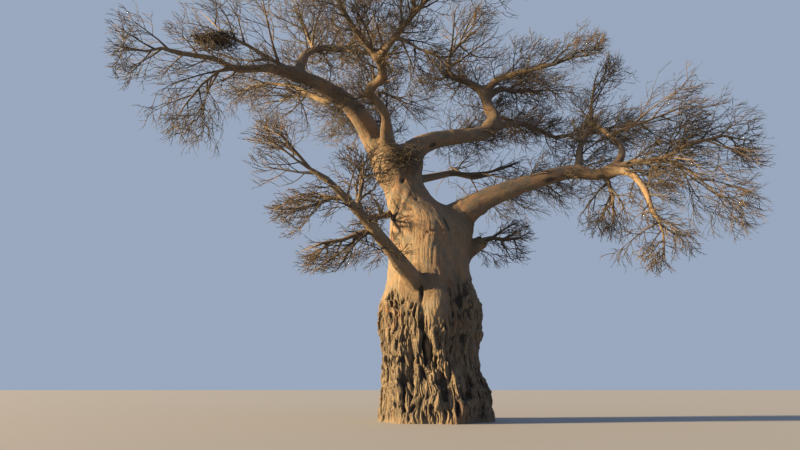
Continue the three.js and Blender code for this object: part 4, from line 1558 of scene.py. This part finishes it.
    def _shares(self, points: Array) -> tuple[Array, list[Array]]:
        """How far each point belongs to the trunk and to each bough.

        Args:
            points: The skin's points.

        Returns:
            Shares as (limb, point), the trunk first, and the points' places along and across each limb.
        """
        gaps, places = [self.trunk.distance(points)], [self.trunk.upright(points)[:, [2, 0, 1]]]
        for limb in self.limbs:
            rows = limb.near(points, self.margin)
            gap, place = np.full(len(points), self.beyond), np.zeros((len(points), 3))
            gap[rows], place[rows] = limb.read(points[rows])
            gaps.append(gap)
            places.append(place)
        shares = np.exp(-(np.array(gaps) - np.min(gaps, 0)) / self.blend)
        shares[shares < self.least_share] = 0
        return shares / shares.sum(0), places

    def _relief(self, points: Array, normals: Array) -> tuple[Array, Array, Array, Array]:
        """The bark's relief.

        Args:
            points: The skin's points.
            normals: Its outward directions.

        Returns:
            Lift along the normal, painted shade in hollows and tornness from 0 to 1, and the grain's own
            coordinates.
        """
        shares, places = self._shares(points)
        lift = np.zeros(len(points))
        flow = np.zeros((len(points), 3))
        for number, limb in enumerate(self.limbs, 1):
            rows = np.flatnonzero(shares[number])
            share, along = shares[number][rows], places[number][rows]
            place = along + number * self.limb_shift
            thick = np.interp(along[:, 0], limb.run, limb.radii)
            lift[rows] += share * self.bough_bark.lift(place, thick)
            flow[rows] += share[:, None] * place
        on_trunk = shares[0]
        flow += on_trunk[:, None] * places[0]
        trunk_lift, torn, trunk_hollow_shade = self.trunk_bark.read(points, self.trunk.upright(points), normals)
        lift += on_trunk * trunk_lift
        # Painted shade in the trunk's clefts and scars and in the boughs' dents
        hollow = on_trunk * trunk_hollow_shade + (1 - on_trunk) * fade(lift, self.hollow)
        return lift, hollow, torn * fade(on_trunk, self.torn_share), flow


def split_fours(points: Array, faces: Array, chosen: Array) -> tuple[Array, Array, Array]:
    """Splits the chosen four-sided faces into four each.

    Args:
        points: The mesh's points.
        faces: Its four-sided faces.
        chosen: True for each face to split.

    Returns:
        All faces, all points, and a row for each edge between split and whole faces: its middle and its ends.
    """
    quads = faces[chosen]
    ends = np.sort(np.stack([quads, np.roll(quads, -1, 1)], 2).reshape(-1, 2), 1)
    codes = ends[:, 0] * len(points) + ends[:, 1]
    keys, row, uses = np.unique(codes, return_inverse=True, return_counts=True)
    ends = np.stack([keys // len(points), keys % len(points)], 1)
    middle = len(points) + row.reshape(-1, 4)
    centre = len(points) + len(keys) + np.arange(len(quads))
    fours = [np.stack([quads[:, k], middle[:, k], centre, middle[:, k - 1]], 1) for k in range(4)]
    more = np.concatenate([points, points[ends].mean(1), points[quads].mean(1)])
    seams = np.flatnonzero(uses == 1)
    rows = np.stack([len(points) + seams, ends[seams, 0], ends[seams, 1]], 1)
    return np.concatenate([faces[~chosen], *fours]), more, rows


def vertex_normals(points: Array, faces: Array) -> Array:
    """Outward directions at the points of a mesh.

    Args:
        points: The mesh's points.
        faces: Its four-sided faces.

    Returns:
        One direction for each point.
    """
    a, b, c, d = (points[faces[:, k]] for k in range(4))
    across = np.cross(c - a, d - b)
    total = np.zeros_like(points)
    for k, axis in product(range(4), range(3)):
        total[:, axis] += np.bincount(faces[:, k], across[:, axis], len(points))
    return unit(total)


# Finishes


class Wire:
    """A value in a material that can be used in plain sums."""

    def __init__(self, finish: "Finish", socket: bpy.types.NodeSocket) -> None:
        """Wraps an output socket of a material's node."""
        self.finish = finish
        self.socket = socket

    def _maths(self, operation: str, *values: "Wire | float") -> "Wire":
        """Adds one Math node."""
        return self.finish.node("ShaderNodeMath", {"operation": operation}, dict(enumerate(values)))

    def __add__(self, other: "Wire | float") -> "Wire":
        """This plus another."""
        return self._maths("ADD", self, other)

    __radd__ = __add__

    def __sub__(self, other: "Wire | float") -> "Wire":
        """This less another."""
        return self._maths("SUBTRACT", self, other)

    def __rsub__(self, other: "Wire | float") -> "Wire":
        """Another less this."""
        return self._maths("SUBTRACT", other, self)

    def __mul__(self, other: "Wire | float") -> "Wire":
        """This times another."""
        return self._maths("MULTIPLY", self, other)

    __rmul__ = __mul__

    def between(self, low: float, high: float) -> "Wire":
        """Runs from 0 to 1 while this runs from low to high."""
        inputs = {"Value": self, "From Min": low, "From Max": high}
        return self.finish.node("ShaderNodeMapRange", {"interpolation_type": "SMOOTHSTEP"}, inputs)


Value = Wire | float | Point


class Finish:
    """A material being made from nodes."""

    def __init__(self, name: str) -> None:
        """Starts an empty material with one shader.

        Args:
            name: The material's name.
        """
        self.material = bpy.data.materials.new(name)
        self.material.use_nodes = True
        self.tree = self.material.node_tree
        self.tree.nodes.clear()
        self.shader = self.tree.nodes.new("ShaderNodeBsdfPrincipled")
        output = self.tree.nodes.new("ShaderNodeOutputMaterial")
        self.tree.links.new(self.shader.outputs[0], output.inputs[0])

    def node(
        self, kind: str, settings: dict[str, str], inputs: dict[int | str, Value], out: int | str = 0
    ) -> Wire:
        """Adds a node.

        Args:
            kind: The node's type.
            settings: Its settings, set first.
            inputs: Values or wires for its sockets, by name or number.
            out: The output that is wanted.

        Returns:
            That output.
        """
        made = self.tree.nodes.new(kind)
        for key, value in settings.items():
            setattr(made, key, value)
        for key, value in inputs.items():
            self.feed(made.inputs[key], value)
        return Wire(self, made.outputs[out])

    def feed(self, socket: bpy.types.NodeSocket, value: Value) -> None:
        """Sets a socket's value or links a wire to it.

        Args:
            socket: The socket.
            value: A wire, a number, or three numbers for a colour or a vector.
        """
        if isinstance(value, Wire):
            self.tree.links.new(value.socket, socket)
        else:
            socket.default_value = (*value, 1) if socket.type == "RGBA" else value

    def mix(self, share: Wire | float, a: Wire | Colour, b: Wire | Colour) -> Wire:
        """Mixes two colours."""
        return self.node("ShaderNodeMix", {"data_type": "RGBA"}, {0: share, 6: a, 7: b}, 2)

    def attribute(self, name: str, out: str = "Fac") -> Wire:
        """Reads a value that the mesh carries."""
        return self.node("ShaderNodeAttribute", {"attribute_name": name}, {}, out)

    def stretched(self, place: Wire, scale: Point) -> Wire:
        """Scales a place along its three axes."""
        return self.node("ShaderNodeVectorMath", {"operation": "MULTIPLY"}, {0: place, 1: scale})

    def noise(self, place: Wire, scale: float, detail: float, rough: float) -> Wire:
        """Cloudy noise from 0 to 1."""
        inputs = {"Vector": place, "Scale": scale, "Detail": detail, "Roughness": rough}
        return self.node("ShaderNodeTexNoise", {}, inputs)

    def bump(self, height: Wire, distance: float, strength: float) -> Wire:
        """Turns a height into a normal."""
        return self.node("ShaderNodeBump", {}, {"Height": height, "Distance": distance, "Strength": strength})

    def dress(self, **sockets: Value) -> bpy.types.Material:
        """Feeds the shader.

        Args:
            **sockets: A value or a wire for each socket, with _ for a space in its name.

        Returns:
            The material.
        """
        for key, value in sockets.items():
            self.feed(self.shader.inputs[key.replace("_", " ")], value)
        return self.material


@dataclass(frozen=True)
class Cloud:
    """Noise over the bark's grain: its stretch, scale, detail and roughness."""

    stretch: Point
    scale: float
    detail: float
    rough: float


@dataclass(frozen=True)
class Stain:
    """A colour laid over the bark where a cloud runs from low to high, at most by its strength."""

    cloud: str
    low: float
    high: float
    colour: Colour
    strength: float = 1.0


@dataclass(frozen=True)
class BaobabBark:
    """Smooth grey-tan skin above and torn, reddish fibre below, with painted shade in every hollow."""

    tan: Colour = (0.19, 0.138, 0.086)
    grey: Colour = (0.122, 0.11, 0.09)
    pink: Colour = (0.2, 0.126, 0.076)
    pale: Colour = (0.28, 0.215, 0.14)
    rust: Colour = (0.155, 0.085, 0.045)
    fibre: Colour = (0.15, 0.118, 0.08)
    char: Colour = (0.066, 0.056, 0.045)
    # Dark specks on the skin, and the painted shade laid into hollows
    dark: Colour = (0.022, 0.018, 0.016)
    # Where rust shows on torn wood, by clouds and by mottle, and where painted shade darkens a hollow and how
    # much
    rusty: tuple[Span, Span] = ((0.54, 0.7), (0.38, 0.62))
    deep: Point = (0.58, 1.0, 0.85)
    # Each cloud's part in the bump, that of the fibres on torn wood and on skin, and the bump's own sizes
    wrinkles: tuple[tuple[str, float], ...] = (
        ("streaks", 0.5), ("across", 0.3), ("fine", 0.4), ("mottle", 0.4),
    )
    fibrous: Span = (0.5, 0.45)
    bump: Span = (0.07, 0.9)
    # Roughness: the least, and how much the mottle adds
    roughness: Span = (0.72, 0.2)

    def clouds(self) -> dict[str, Cloud]:
        """The noises that the bark is made of.

        Returns:
            Each noise by its name.
        """
        return {
            "clouds": Cloud((1, 1, 1), 0.55, 3, 0.55),
            "mottle": Cloud((0.6, 1, 1), 3.2, 5, 0.6),
            "streaks": Cloud((0.16, 1, 1), 9.0, 5, 0.65),
            "across": Cloud((1, 0.12, 0.12), 11.0, 4, 0.55),
            "fibres": Cloud((0.2, 1, 1), 17.0, 6, 0.7),
            "specks": Cloud((0.7, 1, 1), 9.5, 3, 0.5),
            "fine": Cloud((0.35, 1, 1), 26.0, 6, 0.65),
        }

    def skin(self) -> tuple[Stain, ...]:
        """The stains over the tan skin.

        Returns:
            The stains, from the lowest up.
        """
        return (
            Stain("clouds", 0.38, 0.62, self.pink),
            Stain("mottle", 0.42, 0.66, self.grey),
            Stain("streaks", 0.54, 0.72, self.pale, 0.55),
            Stain("across", 0.6, 0.72, self.grey, 0.35),
            Stain("fibres", 0.5, 0.64, self.char, 0.5),
            Stain("specks", 0.64, 0.74, self.dark, 0.55),
        )

    def wood(self) -> tuple[Stain, ...]:
        """The stains over the charred wood, from the lowest up."""
        return Stain("streaks", 0.42, 0.58, self.fibre), Stain("fibres", 0.5, 0.66, self.tan)

    def material(self) -> bpy.types.Material:
        """Makes the material.

        Returns:
            The material.
        """
        f = Finish("baobab_bark")
        grain = f.attribute("grain", "Vector")
        hollow, torn = f.attribute("hollow"), f.attribute("torn")
        noise = {
            name: f.noise(f.stretched(grain, cloud.stretch), cloud.scale, cloud.detail, cloud.rough)
            for name, cloud in self.clouds().items()
        }
        layers = []
        for colour, stains in ((self.tan, self.skin()), (self.char, self.wood())):
            for stain in stains:
                share = noise[stain.cloud].between(stain.low, stain.high) * stain.strength
                colour = f.mix(share, colour, stain.colour)
            layers.append(colour)
        skin, wood = layers
        by_clouds, by_mottle = self.rusty
        rusty = noise["clouds"].between(*by_clouds) * noise["mottle"].between(*by_mottle)
        colour = f.mix(1 - torn, f.mix(rusty, wood, self.rust), skin)
        # Painted shade: hollows are darkened towards the dark colour
        low, high, most = self.deep
        colour = f.mix(hollow.between(low, high) * most, colour, self.dark)
        on_wood, on_skin = self.fibrous
        height = sum(noise[name] * part for name, part in self.wrinkles)
        height = height + noise["fibres"] * (torn * on_wood + on_skin)
        least, more = self.roughness
        normal = f.bump(height, *self.bump)
        return f.dress(Base_Color=colour, Roughness=least + more * noise["mottle"], Normal=normal)


@dataclass(frozen=True)
class TwigBark:
    """One of the plain barks that are dealt out to the sprays, with faint wrinkles."""

    name: str
    colour: Colour
    roughness: float = 0.85
    wrinkles: Cloud = Cloud((1, 1, 1), 30.0, 2, 0.55)
    bump: Span = (0.01, 0.4)

    def material(self) -> bpy.types.Material:
        """Makes the material.

        Returns:
            The material.
        """
        f = Finish(self.name)
        place = f.node("ShaderNodeTexCoord", {}, {}, "Object")
        wrinkles = f.noise(place, self.wrinkles.scale, self.wrinkles.detail, self.wrinkles.rough)
        return f.dress(Base_Color=self.colour, Roughness=self.roughness, Normal=f.bump(wrinkles, *self.bump))


TWIG_BARKS = (
    TwigBark("twig_grey", (0.068, 0.064, 0.058)),
    TwigBark("twig_brown", (0.076, 0.062, 0.049)),
    TwigBark("twig_tan", (0.112, 0.089, 0.064)),
    TwigBark("twig_dark", (0.042, 0.039, 0.037)),
    TwigBark("twig_ochre", (0.15, 0.108, 0.066)),
)
STEM_BARK = TwigBark("stem_bark", (0.13, 0.1, 0.068), 0.8)


# Twigs

SHOOT_SEED, TANGLE_SEED, COLOUR_SEED, COLOUR_SLOT = 101, 201, 50, 7


@dataclass
class TwigCrown:
    """The bare crown: all masses of twigs, joined by region."""

    grower: Grower = field(default_factory=Grower)
    # The swelling at a twig's root: its share of the radius, and the length that it fades over
    root_flare: Span = (0.5, 0.12)
    flared_levels: int = 2
    tip_share: float = 0.42
    sides: tuple[int, ...] = (8, 6, 4, 3, 3)

    def build(self, barks: list[bpy.types.Material]) -> list[bpy.types.Object]:
        """Grows each region and makes it one piece.

        Args:
            barks: The stem's bark, then the barks dealt out to the sprays.

        Returns:
            One piece for each region.
        """
        pieces = []
        for region in Region:
            soup = Soup()
            for seed, twigs in self.growth(region):
                self.add(soup, twigs, self.dealt(seed, twigs.spray, len(barks) - 1))
            for seed, tangle in enumerate(TANGLES, TANGLE_SEED):
                if tangle.region is region:
                    self.tangle(soup, tangle, seed, len(barks) - 1)
            LOG.info("%s: %d triangles", region.value, sum(len(faces) for faces in soup.faces))
            piece = soup.build(region.value, barks)
            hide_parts(*(mass.name for mass in MASSES if mass.region is region))
            pieces.append(piece)
        return pieces

    def growth(self, region: Region) -> Iterator[tuple[int, Twigs]]:
        """Grows the masses and then the side shoots of a region.

        Args:
            region: The region.

        Yields:
            Each batch of twigs, with the seed of what it belongs to.
        """
        for seed, mass in enumerate(MASSES, 1):
            if mass.region is region:
                yield from ((seed, twigs) for twigs in self.grower.grow(mass, seed))
        for seed, shoots in enumerate(SIDE_SHOOTS, SHOOT_SEED):
            if shoots.region is region:
                yield from ((seed, twigs) for twigs in self.grower.side_shoots(shoots, seed))

    @staticmethod
    def dealt(seed: int, sprays: Array, colours: int) -> Array:
        """Deals one of the barks, from 1, to each spray."""
        return np.floor(draw(seed + COLOUR_SEED, sprays, COLOUR_SLOT) * colours).astype(int) + 1

    def add(self, soup: Soup, twigs: Twigs, barks: Array) -> None:
        """Adds one level of twigs as thin tubes, the finest with the fewest rings.

        Args:
            soup: What they are added to.
            twigs: The twigs.
            barks: The bark of each. Stems have a bark of their own.
        """
        finest = twigs.level == len(self.sides) - 1
        rows = [0, RULE.steps // 2, RULE.steps] if finest else list(range(RULE.steps + 1))
        share = np.array(rows) / RULE.steps
        radii = twigs.thick[:, None] * (1 - RULE.taper * share) * np.where(share < 1, 1, self.tip_share)
        if twigs.level < self.flared_levels:
            more, length = self.root_flare
            radii = radii * (1 + more * np.exp(-share * twigs.lengths[:, None] / length))
        soup.tubes(twigs.paths[:, rows], radii, self.sides[twigs.level], barks if twigs.level else 0 * barks)

    def tangle(self, soup: Soup, tangle: Tangle, seed: int, colours: int) -> None:
        """Adds a knot of dry twigs that cross each other.

        Args:
            soup: What they are added to.
            tangle: The knot.
            seed: A number of its own.
            colours: How many barks there are to deal.
        """
        ids = np.arange(tangle.count)
        spread = draw_three(seed, ids, 0)
        least, more = tangle.drawn_in
        spread *= (least + more * np.linalg.norm(spread, axis=1, keepdims=True)) / np.sqrt(3)
        heading = unit(draw_three(seed, ids, 3) * tangle.lie)
        low, high = tangle.length
        reach = (low + (high - low) * draw(seed, ids, 6))[:, None]
        middle = np.array(tangle.middle) + spread * tangle.spread * np.array(tangle.half)
        bend = draw_three(seed, ids, 7) / 2 * reach * tangle.bend
        paths = np.stack([middle - heading * reach / 2, middle + bend, middle + heading * reach / 2], 1)
        radii = np.repeat([tangle.radii], len(ids), 0)
        soup.tubes(paths, radii, self.sides[-1], self.dealt(seed, ids, colours))


# Studio


@dataclass(frozen=True)
class Studio:
    """A pale floor, a pale surround and a soft low key light from the left."""

    floor_size: float = 400.0
    floor: Colour = (0.25, 0.265, 0.29)
    floor_roughness: float = 0.9
    surround: Colour = (0.62, 0.76, 1.0)
    surround_strength: float = 0.52
    key_from: Point = (-0.94, -0.15, 0.23)
    key_colour: Colour = (1.0, 0.69, 0.34)
    key_strength: float = 17.0
    key_angle: float = math.radians(5)

    def build(self) -> None:
        """Makes the floor, the surround and the key light."""
        half = self.floor_size / 2
        corners = np.array([(-half, -half, 0), (half, -half, 0), (half, half, 0), (-half, half, 0)], float)
        floor = mesh_object("floor", corners, np.array([[0, 1, 2, 3]]))
        finish = Finish("floor_paint")
        floor.data.materials.append(finish.dress(Base_Color=self.floor, Roughness=self.floor_roughness))
        world = bpy.data.worlds.new("surround")
        world.use_nodes = True
        ground = world.node_tree.nodes["Background"]
        ground.inputs["Color"].default_value = (*self.surround, 1)
        ground.inputs["Strength"].default_value = self.surround_strength
        bpy.context.scene.world = world
        bpy.context.scene.view_settings.view_transform = "Standard"
        lamp = bpy.data.lights.new("key", "SUN")
        lamp.color, lamp.energy, lamp.angle = self.key_colour, self.key_strength, self.key_angle
        key = bpy.data.objects.new("key", lamp)
        key.rotation_euler = Vector(self.key_from).to_track_quat("Z", "Y").to_euler()
        bpy.context.scene.collection.objects.link(key)


@dataclass(frozen=True)
class ViewCamera:
    """A camera at a standing eye's height that looks up at the tree, by its rise over a run ahead."""

    place: Point = (-1.47, -26.9, 1.4)
    rise: float = 161.0
    run: float = 622.2
    lens: float = 28.0
    sensor: float = 36.0
    reach: float = 1000.0

    def build(self) -> None:
        """Makes the camera and the scene's view."""
        data = bpy.data.cameras.new("camera")
        data.lens, data.sensor_width, data.clip_end = self.lens, self.sensor, self.reach
        camera = bpy.data.objects.new("camera", data)
        camera.location = self.place
        camera.rotation_euler = (math.pi / 2 + math.atan(self.rise / self.run), 0, 0)
        bpy.context.scene.collection.objects.link(camera)
        bpy.context.scene.camera = camera


def main() -> None:
    """Builds the camera, the studio and the tree, and reports each piece."""
    logging.basicConfig(level=logging.INFO, format="%(name)s: %(message)s")
    LOG.info("%d CAD nodes", len(frame["nodes"]))
    ViewCamera().build()
    Studio().build()
    pieces = BarkSkin().build(BaobabBark().material())
    pieces += TwigCrown().build([bark.material() for bark in (STEM_BARK, *TWIG_BARKS)])
    for piece in pieces:
        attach(piece, "root")
        LOG.info("%s: %d faces", piece.name, len(piece.data.polygons))


if __name__ == "__main__":
    main()
